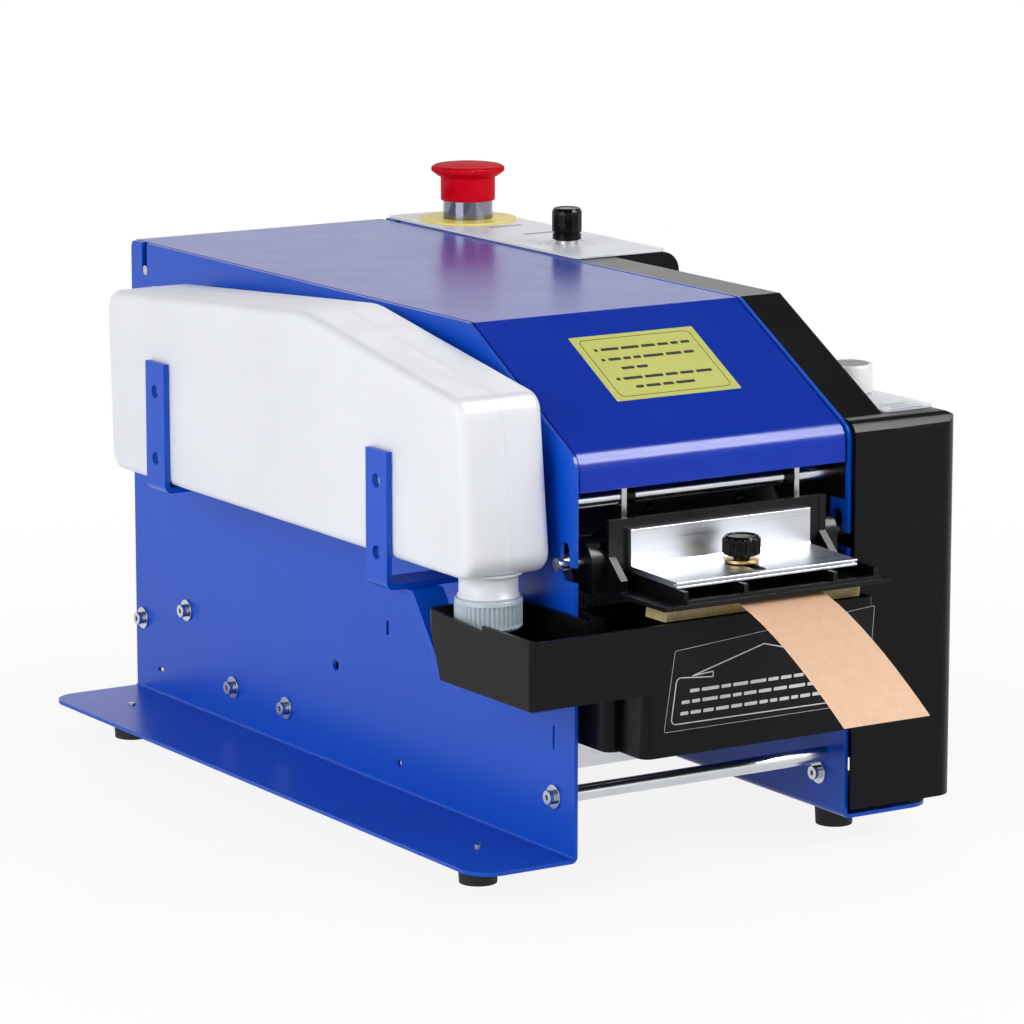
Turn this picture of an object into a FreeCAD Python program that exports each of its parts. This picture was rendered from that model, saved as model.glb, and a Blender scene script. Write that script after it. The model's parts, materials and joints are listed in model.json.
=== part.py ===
import FreeCAD, Part
import math
import os
import Sketcher
from FreeCAD import Placement, Rotation, Vector

# Gummed tape dispenser: two bent side plates joined by tie rods carry the tape roll, the feed and
# cutter, the water tank with its brush, and a housing with the motor and the controls.
# Everything is worked out in the machine's own directions: X to the right from the left plate's
# outer face, Y to the rear from the plates' front edge, Z up from the underside of the foot
# flanges. Placements then move it so that the origin is under the middle of the whole object.

doc = FreeCAD.newDocument("TapeDispenser")
sheet = doc.addObject("Spreadsheet::Sheet", "Sizes")

DRIVING_SIZES = [
    # side plates
    ("plate_length", 450.0, "side plates, front to rear"),
    ("plate_height", 254.0, "side plates, flange underside to top edge"),
    ("plate_gauge", 2.0, "sheet thickness of the side plates"),
    ("bay_width", 160.4, "clear width between the side plates"),
    ("nose_height", 199.7, "height of the front edge, where the slope starts"),
    ("slope_run", 97.5, "length of the slope along the machine"),
    ("nose_radius", 4.0, "rounding of the plate's upper corners"),
    ("nose_bow", 7.5, "rounding of the plate's corner at the nose"),
    ("flange_reach", 55.6, "foot flange, outwards from the plate"),
    ("flange_corner", 15.0, "corner radius of the foot flange"),
    ("bend_radius", 1.5, "inside radius of the bends"),
    ("hinge_slot_back", 15.2, "cover hinge slot's centre, from the rear edge"),
    ("hinge_slot_depth", 18.0, "cover hinge slot, from the top edge down"),
    ("hinge_pin_across", 5.4, "diameter of the cover's hinge pins"),
    ("fit_gap", 0.05, "radial clearance of a shaft in its hole"),
    ("run_gap", 0.3, "clearance between faces that move past each other"),
    # notch for the press frame's pins
    ("notch_low", 139.5, "lower edge of the notch"),
    ("notch_width", 7.5, "width of the notch"),
    ("notch_back", 9.0, "centre of the notch's upright part, from the front edge"),
    ("notch_top", 158.6, "top of the notch's upright part"),
    ("pivot_up", 148.0, "height of the press frame's pivot"),
    ("pivot_pin_across", 6.5, "diameter of the press frame's pivot pins"),
    ("pivot_pin_proud", 5.0, "length of pin that stands out of the plate"),
    # tie rods, screws and washers
    ("rod_across", 8.0, "diameter of the tie rods"),
    ("rod_tap_depth", 12.0, "depth of the tapped ends"),
    ("front_rod_back", 18.0, "front tie rod, from the front edge"),
    ("front_rod_up", 30.0, "front tie rod, height"),
    ("rear_rod_inset", 59.2, "forward one of the rear tie rods, from the rear edge"),
    ("rear_rod_up", 55.4, "forward one of the rear tie rods, height"),
    ("end_rod_inset", 8.3, "rearmost tie rod, from the rear edge"),
    ("end_rod_up", 41.9, "rearmost tie rod, height"),
    ("arm_rod_back", 106.0, "pressure arm's rod, from the front edge"),
    ("arm_rod_up", 162.0, "pressure arm's rod, height"),
    ("axle_up", 22.0, "height of the roll axles"),
    ("axle_inset", 110.8, "rearward roll axle, from the rear edge"),
    ("axle_pitch", 57.8, "distance between the roll axles"),
    ("screw_across", 4.0, "thread diameter of the rod screws"),
    ("screw_length", 12.0, "length of the rod screws under the head"),
    ("screw_head_across", 7.0, "head diameter of the rod screws"),
    ("screw_head_height", 3.6, "head height of the rod screws"),
    ("screw_key", 2.5, "hexagon key size of the rod screws, across corners"),
    ("washer_across", 12.0, "diameter of the rod washers"),
    ("washer_gauge", 1.0, "thickness of the rod washers"),
    # feet
    ("foot_across", 21.0, "diameter of the rubber feet at the top"),
    ("foot_taper", 1.0, "how much smaller the foot's radius is at the floor"),
    ("foot_height", 16.0, "height of the rubber feet"),
    ("foot_inset", 26.0, "foot centre, outwards from the plate's outer face"),
    ("front_foot_back", 47.0, "front feet, from the front edge"),
    ("rear_foot_back", 408.0, "rear feet, from the front edge"),
    ("foot_screw_across", 4.0, "thread diameter of the foot screws"),
    ("foot_screw_head_across", 8.0, "head diameter of the foot screws"),
    ("foot_screw_proud", 1.0, "foot screw's tip above the flange"),
    ("foot_recess", 8.0, "recess for the screw head in the foot"),
    ("housing_screw_back", 22.0, "housing's lower screw, from the front edge"),
    ("housing_screw_up", 20.0, "housing's lower screw, height"),
    # spare holes and slits of the left plate
    ("spare_hole_back", 229.3, "upper spare hole, from the front edge"),
    ("spare_hole_across", 6.0, "diameter of the upper spare hole"),
    ("low_hole_back", 165.0, "lower spare hole, from the front edge"),
    ("low_hole_up", 16.0, "height of the lower spare hole and of the level slit"),
    ("low_hole_across", 4.0, "diameter of the lower spare hole"),
    ("front_slit_up", 53.7, "lower end of the upright slit over the front rod"),
    ("front_slit_long", 11.6, "length of the slit over the front rod"),
    ("front_slit_width", 1.6, "width of the slit over the front rod"),
    ("middle_slit_back", 174.8, "middle slit, from the front edge"),
    ("middle_slit_up", 81.5, "lower end of the middle slit"),
    ("middle_slit_long", 7.5, "length of the middle slit"),
    ("middle_slit_width", 2.6, "width of the middle slit"),
    ("rear_slit_inset", 31.0, "forward end of the level slit, from the rear edge"),
    ("rear_slit_long", 6.0, "length of the level slit"),
    ("rear_slit_width", 2.2, "width of the level slit"),
    # bottle, cap and their brackets
    ("bottle_inner", 6.0, "gap from the left plate to the bottle"),
    ("bottle_thick", 49.0, "bottle, side to side"),
    ("bottle_wall", 1.5, "wall of the bottle"),
    ("bottle_edge", 7.0, "rounding of the bottle's long edges"),
    ("bottle_corner", 11.0, "rounding of the bottle's corners in side view"),
    ("bottle_front", 9.0, "bottle's front, from the plates' front edge"),
    ("bottle_rear", 378.0, "bottle's rear end"),
    ("bottle_low_front", 143.2, "height of the bottle's underside"),
    ("bottle_top_front", 231.0, "height of the bottle's front shoulder"),
    ("bottle_front_lean", 11.0, "how far the front shoulder leans back"),
    ("bottle_knee_back", 168.0, "knee of the bottle's top"),
    ("bottle_knee_up", 256.0, "height of the knee"),
    ("bottle_top_rear", 240.0, "height of the bottle's rear shoulder"),
    ("bottle_rear_lean", 4.0, "how much further forward the bottle's rear foot is"),
    ("neck_across", 29.0, "outside diameter of the neck"),
    ("neck_back", 30.0, "neck's axis, from the front edge"),
    ("neck_length", 23.7, "neck, below the bottle's underside"),
    ("cap_across", 33.4, "outside diameter of the cap"),
    ("cap_wall", 2.2, "wall of the cap"),
    ("cap_height", 15.5, "height of the cap"),
    ("cap_top_gap", 11.7, "gap from the bottle's underside to the cap's upper rim"),
    ("valve_across", 6.0, "valve stem under the cap"),
    ("valve_length", 3.0, "length of the valve stem"),
    ("bracket_width", 20.0, "width of the bottle brackets"),
    ("bracket_gauge", 3.0, "thickness of the bottle brackets"),
    ("bracket_gap", 0.5, "gap from the bottle to the brackets' uprights"),
    ("front_bracket_back", 79.0, "front bracket's forward edge"),
    ("front_bracket_low", 128.3, "underside of the front bracket"),
    ("front_bracket_top", 197.5, "top of the front bracket"),
    ("rear_bracket_back", 306.0, "rear bracket's forward edge"),
    ("rear_bracket_top", 209.0, "top of the rear bracket"),
    ("bracket_weld_flange", 16.0, "height of the brackets' flange on the plate"),
    ("bracket_hole_across", 7.0, "holes in the brackets"),
    ("bracket_hole_inset", 15.5, "upper bracket hole, from the bracket's top"),
    ("bracket_low_hole", 17.8, "lower bracket hole, above the bracket's underside"),
    # water tank, strap and brush
    ("tank_rim", 124.5, "height of the tank's rim"),
    ("tank_wall", 2.0, "wall of the tank"),
    ("tank_front", 44.2, "tank's front wall at the rim, forward of the plates"),
    ("tank_front_draft", 5.0, "how much the front wall leans back at the basin's floor"),
    ("trough_outer", 51.8, "trough's outer face, from the left plate"),
    ("trough_inner", 2.0, "gap between the trough and the left plate"),
    ("trough_back", 52.7, "trough's rear wall at the rim"),
    ("trough_back_lean", 12.5, "how far the trough's rear wall leans"),
    ("trough_floor", 90.5, "height of the trough's underside"),
    ("link_back", 14.5, "rear of the channel round the plate, forward of the plates"),
    ("block_left", 5.0, "left end of the basin's shallow block"),
    ("basin_left", 14.3, "left end of the deep basin"),
    ("alcove_left", 7.3, "left end of the basin's wider rear part"),
    ("alcove_front", 17.5, "front of that wider part, forward of the plates"),
    ("rim_dip", 3.2, "how far the trough's outer rim falls behind its step"),
    ("rim_step_back", 2.0, "step in the trough's outer rim, from the front edge"),
    ("basin_right", 147.5, "right end of the basin"),
    ("basin_floor", 58.0, "height of the basin's underside"),
    ("basin_back", 12.0, "rear of the basin"),
    ("tank_corner", 5.0, "rounding of the tank's upright corners"),
    ("cap_post_length", 6.0, "length of the two posts under the bottle's cap"),
    ("strap_width", 18.0, "width of the strap under the trough"),
    ("strap_left", 47.0, "strap's outer edge, from the left plate"),
    ("strap_reach", 34.0, "strap's front end, forward of the plates"),
    ("strap_bend_back", 45.0, "strap's lower bend"),
    ("strap_top_bend_back", 74.0, "strap's upper bend"),
    ("brush_left", 27.0, "brush's left end"),
    ("brush_long", 116.5, "brush, side to side"),
    ("brush_front", 38.6, "bristles' front, forward of the plates"),
    ("brush_deep", 18.0, "bristles, front to rear"),
    ("brush_block_height", 38.0, "height of the brush block"),
    ("tape_level", 132.8, "height of the tape's underside, where it runs level"),
    # tape
    ("tape_width", 50.0, "width of the tape"),
    ("tape_gauge", 0.3, "thickness of the tape"),
    ("tape_shift", 4.3, "tape's centre, to the right of the bay's centre"),
    ("tape_reach", 94.5, "how far the tape sticks out over the tank's front"),
    ("tape_drop", 45.3, "how far the tape's end hangs down"),
    ("tape_curl", 1.43, "exponent of the tape's droop"),
    ("roll_across", 180.0, "diameter of the tape roll"),
    ("core_across", 62.0, "outside diameter of the roll's core"),
    ("core_wall", 3.0, "wall of the roll's core"),
    ("roller_across", 18.0, "diameter of the roll's rollers"),
    ("roller_end_gap", 8.0, "gap from the rollers' ends to the plates"),
    # press frame and weight
    ("frame_left", 17.7, "press frame's left end"),
    ("frame_right", 146.7, "press frame's right end"),
    ("frame_wall", 3.0, "walls of the press frame"),
    ("frame_end_wall", 4.0, "end walls of the press frame"),
    ("frame_face", 2.4, "front face of the frame's rear wall, forward of the plates"),
    ("frame_top", 169.0, "top of the frame's rear wall"),
    ("frame_kink", 151.0, "where the end walls' front edge starts to lean forward"),
    ("frame_toe_up", 141.0, "height of the end walls' front toe"),
    ("frame_toe", 13.5, "end walls' front toe, forward of the plates"),
    ("sole_gauge", 2.2, "thickness of the frame's sole"),
    ("sole_front", 55.0, "front edge of the sole"),
    ("sole_over", 1.9, "sole's overhang past the end walls"),
    ("rail_height", 2.0, "raised front rail of the sole"),
    ("rail_deep", 3.0, "front rail, front to rear"),
    ("pivot_boss_across", 20.0, "pivot bosses of the press frame"),
    ("pivot_boss_reach", 8.6, "length of the pivot bosses"),
    ("rail_left", 28.5, "front rail's left end"),
    ("rail_right", 143.0, "front rail's right end"),
    ("rib_gauge", 2.5, "ribs on the sole"),
    ("rib_pitch", 52.8, "distance between the two inner ribs"),
    ("rib_shift", 8.8, "middle of the inner ribs, to the right of the bay's centre"),
    ("weight_left", 28.5, "weight plate's left end"),
    ("weight_right", 135.0, "weight plate's right end"),
    ("weight_gauge", 3.0, "thickness of the weight plate's foot"),
    ("weight_upright_gauge", 3.2, "thickness of the weight plate's upright"),
    ("weight_top", 164.0, "top of the weight plate's upright"),
    ("weight_heel", 146.1, "top of the weight plate's foot at the upright"),
    ("weight_reach", 45.5, "front edge of the weight plate"),
    ("weight_fall", 1.3, "how much lower the foot's front edge is"),
    ("weight_slot_width", 6.0, "slot in the weight plate"),
    ("weight_slot_rear", 10.0, "rear end of the slot"),
    ("weight_slot_land", 3.0, "metal left in front of the slot"),
    ("weight_split", 0.9, "groove in the weight plate's front edge"),
    ("thumb_shift", 1.2, "thumbscrew's axis, to the left of the bay's centre"),
    ("thumb_back", 24.0, "thumbscrew's axis, forward of the plates"),
    ("thumb_across", 19.0, "diameter of the thumbscrew's knob"),
    ("thumb_height", 8.0, "height of the thumbscrew's knob"),
    ("thumb_neck_across", 8.0, "neck of the thumbscrew"),
    ("thumb_neck_length", 3.5, "length of the neck"),
    ("thumb_stud_across", 5.0, "stud of the thumbscrew"),
    ("collar_across", 17.0, "brass collar under the thumbscrew"),
    ("collar_gauge", 1.5, "thickness of the brass collar"),
    ("stud_boss_across", 11.0, "boss on the sole that takes the stud"),
    # guide rod, fingers, guard and cutter
    ("guide_rod_back", 15.5, "guide rod, from the front edge"),
    ("guide_rod_up", 176.5, "height of the guide rod"),
    ("finger_pitch", 103.0, "distance between the fingers"),
    ("finger_shift", 0.5, "middle of the fingers, to the right of the tape's centre"),
    ("finger_across", 3.0, "width of a finger"),
    ("finger_gauge", 0.8, "thickness of a finger"),
    ("finger_drop", 11.5, "finger's tip below the guide rod's axis"),
    ("finger_rise", 6.0, "finger's upper end above the guide rod's axis"),
    ("collar_rod_across", 10.5, "black collars on the guide rod"),
    ("collar_rod_length", 5.0, "length of the collars on the guide rod"),
    ("guard_back", 24.3, "guard plate's front face, from the front edge"),
    ("guard_gauge", 2.0, "thickness of the guard plate"),
    ("guard_half", 46.5, "half width of the guard plate's raised middle"),
    ("guard_low", 149.0, "underside of the guard plate"),
    ("guard_wing_rise", 8.0, "guard plate's height at the side plates, over its underside"),
    ("guard_top", 172.0, "top of the guard plate"),
    ("guard_screw_pitch", 54.4, "distance between the guard plate's screws"),
    ("guard_screw_up", 166.0, "height of the guard plate's screws"),
    ("guard_screw_across", 7.0, "head of the guard plate's screws"),
    ("blade_gauge", 2.5, "thickness of the moving blade"),
    ("blade_width", 62.0, "width of the moving blade"),
    ("blade_open", 1.9, "gap between the resting blade and the tape"),
    ("blade_height", 24.0, "height of the moving blade"),
    ("blade_skew", 3.0, "slant of the moving blade's edge"),
    ("bed_deep", 6.0, "fixed blade, front to rear"),
    ("bed_height", 18.0, "height of the fixed blade"),
    ("solenoid_width", 34.0, "solenoid, side to side"),
    ("solenoid_deep", 20.0, "solenoid, front to rear"),
    ("solenoid_height", 36.0, "height of the solenoid"),
    ("plunger_across", 2.2, "diameter of the plunger pins on the blade"),
    # feed, pressure wheel and drive
    ("feed_back", 62.0, "feed shaft, from the front edge"),
    ("feed_across", 30.0, "diameter of the feed roller"),
    ("feed_width", 58.0, "width of the feed roller"),
    ("shaft_across", 8.0, "diameter of the feed shaft"),
    ("bearing_across", 22.0, "diameter of the feed bearings"),
    ("bearing_length", 9.0, "length of the feed bearings"),
    ("pressure_across", 24.0, "diameter of the pressure wheel"),
    ("pressure_width", 40.0, "width of the pressure wheel"),
    ("pressure_axle_across", 6.0, "axle of the pressure wheel"),
    ("arm_gauge", 3.0, "thickness of the pressure arm's cheeks"),
    ("arm_end_across", 18.0, "rounded ends of the pressure arm"),
    ("pulley_across", 24.0, "diameter of the belt pulleys"),
    ("pulley_width", 9.0, "width of the belt pulleys"),
    ("pulley_gap", 3.5, "gap from the right plate to the pulleys"),
    ("belt_gauge", 1.8, "thickness of the belt"),
    ("belt_width", 7.0, "width of the belt"),
    ("motor_back", 150.0, "motor shaft, from the front edge"),
    ("motor_across", 42.0, "diameter of the gear motor"),
    ("motor_length", 38.0, "length of the gear motor"),
    ("motor_foot", 10.0, "width of the motor's two mounting legs"),
    # housing and controls
    ("housing_front", 3.3, "housing's front, forward of the plates"),
    ("housing_width", 66.6, "housing, outwards from the right plate"),
    ("housing_wall", 2.0, "wall of the housing"),
    ("housing_step", 204.0, "height of the housing's lower step"),
    ("fin_width", 25.8, "fin along the right plate"),
    ("tower_front", 251.5, "front of the housing's tall rear part"),
    ("housing_lift", 3.0, "gap from the foot flange to the housing's lower edge"),
    ("housing_bend", 11.0, "rounding of the housing's outer upper edges"),
    ("housing_brow", 9.0, "rounding of the housing's front upper edge"),
    ("housing_corner", 12.0, "rounding of the housing's front outer corner"),
    ("fin_bend", 2.4, "rounding of the fin's outer edge"),
    ("panel_gauge", 1.4, "thickness of the control panels"),
    ("panel_rise", 1.6, "top control panel, above the side plates"),
    ("panel_inset", 8.0, "control panels' distance from the housing's outer edges"),
    ("panel_corner", 4.0, "corner radius of the control panels"),
    ("step_panel_front", 9.0, "lower panel's front edge, behind the housing's front"),
    ("step_panel_long", 130.0, "lower panel, front to rear"),
    ("estop_left", 31.1, "emergency stop's axis, from the right plate's outer face"),
    ("estop_inset", 38.0, "emergency stop's axis, from the rear edge"),
    ("estop_ring_across", 55.0, "yellow ring"),
    ("estop_ring_gauge", 1.0, "thickness of the yellow ring"),
    ("bezel_across", 28.0, "chrome bezel"),
    ("bezel_height", 14.0, "height of the bezel above the panel"),
    ("bezel_body_across", 22.0, "body of the emergency stop under the panel"),
    ("bezel_body_length", 34.0, "depth of that body"),
    ("stem_across", 10.0, "stem of the emergency stop"),
    ("skirt_across", 30.8, "red head's skirt"),
    ("skirt_low", 11.3, "skirt's lower rim above the panel"),
    ("mushroom_across", 41.5, "red head's rim"),
    ("mushroom_low", 26.0, "underside of the mushroom above the panel"),
    ("mushroom_rim", 29.0, "rim of the mushroom above the panel"),
    ("mushroom_top", 32.4, "top of the mushroom above the panel"),
    ("press_travel", 4.5, "travel of the emergency stop"),
    ("speed_left", 24.0, "speed knob's axis, from the right plate's outer face"),
    ("speed_back", 298.0, "speed knob's axis, from the front edge"),
    ("speed_across", 16.4, "diameter of the speed knob"),
    ("speed_height", 17.4, "height of the speed knob"),
    ("speed_collar_across", 12.5, "collar under the speed knob"),
    ("speed_collar_height", 2.2, "height of the collar"),
    ("control_shaft_across", 6.0, "shafts of the two knobs"),
    ("control_shaft_length", 12.0, "knob shafts, below the panel"),
    ("dial_left", 42.4, "dial's axis, from the right plate's outer face"),
    ("dial_back", 62.3, "dial's axis, from the front edge"),
    ("dial_across", 26.0, "diameter of the dial"),
    ("dial_height", 15.0, "height of the dial"),
    ("board_long", 150.0, "control board, front to rear"),
    ("board_tall", 110.0, "control board, height"),
    ("board_gauge", 1.6, "thickness of the control board"),
    ("board_stand", 8.0, "stand-offs of the control board"),
    ("board_inset", 30.0, "control board's rear edge, from the plates' rear edge"),
    ("board_up", 66.0, "control board's lower edge"),
    ("board_coil", 30.0, "side of the board's coil block, and its distance from the edges"),
    ("board_can", 14.0, "diameter of the board's capacitors"),
    ("board_chip", 32.0, "side of the board's chip"),
    ("inlet_width", 28.0, "power inlet's body, side to side"),
    ("inlet_height", 20.0, "power inlet's body, height"),
    ("inlet_deep", 22.0, "power inlet's body, front to rear"),
    ("inlet_rim", 4.0, "flange of the power inlet round its body"),
    ("inlet_up", 40.0, "height of the power inlet's centre"),
    ("inlet_left", 30.0, "power inlet's centre, from the right plate's outer face"),
    # top cover and cross plate
    ("cover_gauge", 1.5, "sheet thickness of the top cover"),
    ("cover_side_gap", 1.2, "gap from the cover to each side plate"),
    ("cover_face", 1.0, "cover lip's front face, behind the plates' front edge"),
    ("cover_lip_low", 183.2, "lower edge of the cover's lip"),
    ("cover_bend", 12.0, "outside radius of the bend at the nose"),
    ("cover_ear", 20.0, "width of the cover's hinge ears"),
    ("cover_skirt", 10.0, "depth of the cover's side flanges"),
    ("cross_back", 100.0, "cross plate, from the front edge"),
    ("cross_low", 18.0, "lower edge of the cross plate"),
    ("cross_tall", 80.0, "height of the cross plate"),
    ("cross_gauge", 1.5, "thickness of the cross plate"),
]


class Size(float):
    """A length that also knows the sheet formula it comes from."""

    def __new__(cls, value, formula):
        size = super().__new__(cls, value)
        size.formula = formula
        return size

    def __add__(self, other):
        return Size(float(self) + float(other), joined(self, "+", other))

    def __radd__(self, other):
        return Size(float(other) + float(self), joined(other, "+", self))

    def __sub__(self, other):
        return Size(float(self) - float(other), joined(self, "-", other))

    def __rsub__(self, other):
        return Size(float(other) - float(self), joined(other, "-", self))

    def __mul__(self, other):
        return Size(float(self) * float(other), joined(self, "*", other))

    def __rmul__(self, other):
        return Size(float(other) * float(self), joined(other, "*", self))

    def __truediv__(self, other):
        return Size(float(self) / float(other), joined(self, "/", other))

    def __rtruediv__(self, other):
        return Size(float(other) / float(self), joined(other, "/", self))

    def __neg__(self):
        return 0.0 - self


def formula_of(size):
    """The sheet formula of a size, or a plain number as text."""
    return size.formula if isinstance(size, Size) else "(%r)" % float(size)


def joined(first, sign, second):
    return "(%s %s %s)" % (formula_of(first), sign, formula_of(second))


def root(size):
    return Size(math.sqrt(size), "sqrt(%s)" % formula_of(size))


def fill_sheet():
    """Write the driving sizes into the sheet and return them by alias."""
    for row, (alias, value, note) in enumerate(DRIVING_SIZES, start=1):
        sheet.set("A%d" % row, alias)
        sheet.set("B%d" % row, str(value))
        sheet.set("C%d" % row, note)
        sheet.setAlias("B%d" % row, alias)
    doc.recompute()
    return {alias: Size(sheet.get(alias), "Sizes." + alias) for alias, _, _ in DRIVING_SIZES}


class Sizes:
    """The driving sizes as attributes, so that a formula reads like one."""


s = Sizes()
s.__dict__.update(fill_sheet())

# Faces and axes that several pieces share.
LEFT_INNER = s.plate_gauge
RIGHT_INNER = s.plate_gauge + s.bay_width
RIGHT_OUTER = RIGHT_INNER + s.plate_gauge
BAY_CENTRE = s.plate_gauge + s.bay_width / 2
TAPE_CENTRE = BAY_CENTRE + s.tape_shift
HOUSING_RIGHT = RIGHT_OUTER + s.housing_width
BOTTLE_OUTER = -s.bottle_inner - s.bottle_thick
BRACKET_OUTER = BOTTLE_OUTER - s.bracket_gap - s.bracket_gauge
PIVOT_BACK = s.notch_back
HINGE_BACK = s.plate_length - s.hinge_slot_back
HINGE_UP = s.plate_height - s.hinge_slot_depth + s.hinge_pin_across / 2
TAPE_END = s.tank_front - s.tank_wall + s.tape_reach
PANEL_TOP = s.plate_height + s.panel_rise
STEP_TOP = s.housing_step
SHEAR_BACK = s.guard_back + s.guard_gauge + s.run_gap + s.blade_gauge + s.run_gap
FEED_UP = s.tape_level - s.run_gap - s.feed_across / 2

# The origin is under the middle of the whole object.
ORIGIN_X = (BRACKET_OUTER + HOUSING_RIGHT) / 2
ORIGIN_Y = (s.plate_length + s.housing_wall - TAPE_END) / 2
ORIGIN_Z = -s.foot_height

ALONG_X = Rotation(Vector(0, 1, 0), 90)
ALONG_Y = Rotation(Vector(1, 0, 0), -90)
ALONG_Z = Rotation()
TURNS = {"X": ALONG_X, "Y": ALONG_Y, "Z": ALONG_Z}
SMALL = 1e-4
PAST = 1.0        # how far a cutting solid runs past the face that it opens
NODES = []


# ---------------------------------------------------------------- building blocks

def bind(item, prop, size):
    item.setExpression(prop, formula_of(size))


def place(item, x, y, z, turn=ALONG_Z):
    item.Placement = Placement(Vector(), turn)
    bind(item, "Placement.Base.x", x - ORIGIN_X)
    bind(item, "Placement.Base.y", y - ORIGIN_Y)
    bind(item, "Placement.Base.z", z - ORIGIN_Z)


def block(x, y, z):
    """A box between two values in each direction."""
    item = doc.addObject("Part::Box", "Block")
    bind(item, "Length", x[1] - x[0])
    bind(item, "Width", y[1] - y[0])
    bind(item, "Height", z[1] - z[0])
    place(item, x[0], y[0], z[0])
    return item


def round_bar(axis, span, centre, across):
    """A cylinder along an axis; centre holds the other two coordinates, in X, Y, Z order."""
    item = doc.addObject("Part::Cylinder", "RoundBar")
    bind(item, "Radius", across / 2)
    bind(item, "Height", span[1] - span[0])
    start = list(centre)
    start.insert("XYZ".index(axis), span[0])
    place(item, *start, turn=TURNS[axis])
    return item


def cut(base, *tools):
    item = doc.addObject("Part::Cut", "Cut")
    item.Base = base
    item.Tool = tools[0] if len(tools) == 1 else fuse(*tools)
    item.Refine = True
    return item


def fuse(*items):
    item = doc.addObject("Part::MultiFuse", "Fuse")
    item.Shapes = list(items)
    item.Refine = True
    return item


def common(first, second):
    item = doc.addObject("Part::MultiCommon", "Common")
    item.Shapes = [first, second]
    return item


def group(*items):
    item = doc.addObject("Part::Compound", "Group")
    item.Links = list(items)
    return item


def tube(axis, span, centre, across, bore):
    outer = round_bar(axis, span, centre, across)
    inner = round_bar(axis, (span[0] - PAST, span[1] + PAST), centre, bore)
    return cut(outer, inner)


PLANES = {"X": "YZ_Plane", "Y": "XZ_Plane", "Z": "XY_Plane"}


def outline_sketch(body, axis, points, offset=0.0):
    """A closed outline in the plane across an axis, every point bound to the sheet."""
    item = body.newObject("Sketcher::SketchObject", "Outline")
    plane = next(o for o in body.Origin.OriginFeatures if o.Role == PLANES[axis])
    item.AttachmentSupport = [(plane, "")]
    item.MapMode = "FlatFace"
    bind(item, "AttachmentOffset.Base.z", offset)
    count = len(points)
    corners = [Vector(float(u), float(v), 0) for u, v in points]
    for index in range(count):
        item.addGeometry(Part.LineSegment(corners[index], corners[(index + 1) % count]))
    for index in range(count):
        item.addConstraint(Sketcher.Constraint("Coincident", index, 2, (index + 1) % count, 1))
    for index, point in enumerate(points):
        for kind, letter, size in zip(("DistanceX", "DistanceY"), "uv", point):
            number = item.addConstraint(
                Sketcher.Constraint(kind, -1, 1, index, 1, float(size)))
            if isinstance(size, Size):
                item.renameConstraint(number, "%s%d" % (letter, index))
                bind(item, "Constraints.%s%d" % (letter, index), size)
    return item


def edges_at(shape, axis, corner):
    """Names of the edges along an axis that pass through a corner of the outline."""
    drop = "XYZ".index(axis)
    names = []
    for number, edge in enumerate(shape.Edges, start=1):
        ends = [[c for i, c in enumerate(v.Point) if i != drop] for v in edge.Vertexes]
        if len(ends) == 2 and all(math.dist(end, corner) < SMALL for end in ends):
            names.append("Edge%d" % number)
    return names


def edges_on_ends(shape, axis, span, spots=None):
    """Names of the edges in the end faces of a prism, or of those between certain corners."""
    letter = "XYZ".index(axis)
    names = []
    for number, edge in enumerate(shape.Edges, start=1):
        points = [vertex.Point for vertex in edge.Vertexes]
        points.append(edge.valueAt((edge.FirstParameter + edge.LastParameter) / 2))
        flat = [[c for i, c in enumerate(point) if i != letter] for point in points[:-1]]
        wanted = spots is None or all(min(math.dist(end, spot) for spot in spots) < SMALL
                                      for end in flat)
        for end in span:
            if wanted and all(abs(point[letter] - float(end)) < SMALL for point in points):
                names.append("Edge%d" % number)
    return names


def prism(axis, points, span, rounds=(), end_round=None, ends=None, between=None):
    """An outline carried along an axis.

    rounds holds (radius, corner numbers) pairs. end_round softens the edges of the end faces,
    or only of the faces in ends, or only of the edges that join the corners in between.
    """
    body = doc.addObject("PartDesign::Body", "Prism")
    place(body, 0, 0, 0)
    reverse = axis == "Y"      # the XZ plane's normal points along -Y
    offset = -span[0] if reverse else span[0]
    sketch = outline_sketch(body, axis, points, offset)
    pad = body.newObject("PartDesign::Pad", "Pad")
    pad.Profile = sketch
    pad.Reversed = reverse
    bind(pad, "Length", span[1] - span[0])
    doc.recompute()
    last = pad
    for radius, corners in rounds:
        places = [tuple(float(c) for c in points[corner]) for corner in corners]
        names = [name for spot in places for name in edges_at(last.Shape, axis, spot)]
        last = rounded(body, last, names, radius)
    if end_round is not None:
        spots = between and [tuple(float(c) for c in points[corner]) for corner in between]
        names = edges_on_ends(last.Shape, axis, ends or span, spots)
        last = rounded(body, last, names, end_round)
    return body


def rounded(body, feature, names, radius):
    item = body.newObject("PartDesign::Fillet", "Rounding")
    item.Base = (feature, names)
    bind(item, "Radius", radius)
    doc.recompute()
    return item


def turned(axis, centre, points):
    """An outline of (radius, place along the axis) points, turned about the axis.

    centre is the point of the axis where the outline's second number is 0.
    """
    body = doc.addObject("PartDesign::Body", "Turned")
    place(body, *centre, turn=TURNS[axis])
    sketch = outline_sketch(body, "Y", points)
    item = body.newObject("PartDesign::Revolution", "Revolution")
    item.Profile = sketch
    item.ReferenceAxis = (sketch, ["V_Axis"])
    item.Angle = 360
    doc.recompute()
    return body


def rectangle(u, v):
    return [(u[0], v[0]), (u[1], v[0]), (u[1], v[1]), (u[0], v[1])]


def node(name, item):
    """Give a finished piece its name."""
    item.Label = name
    NODES.append(item)
    return item


def mirrored(x):
    """The same distance, measured from the right plate's outer face."""
    return RIGHT_OUTER - x


def bend_shift(gauge, run, rise):
    """How far the inside corner of a bend lies along the bent sheet's straight part."""
    return gauge * (root(run * run + rise * rise) - run) / rise


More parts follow.
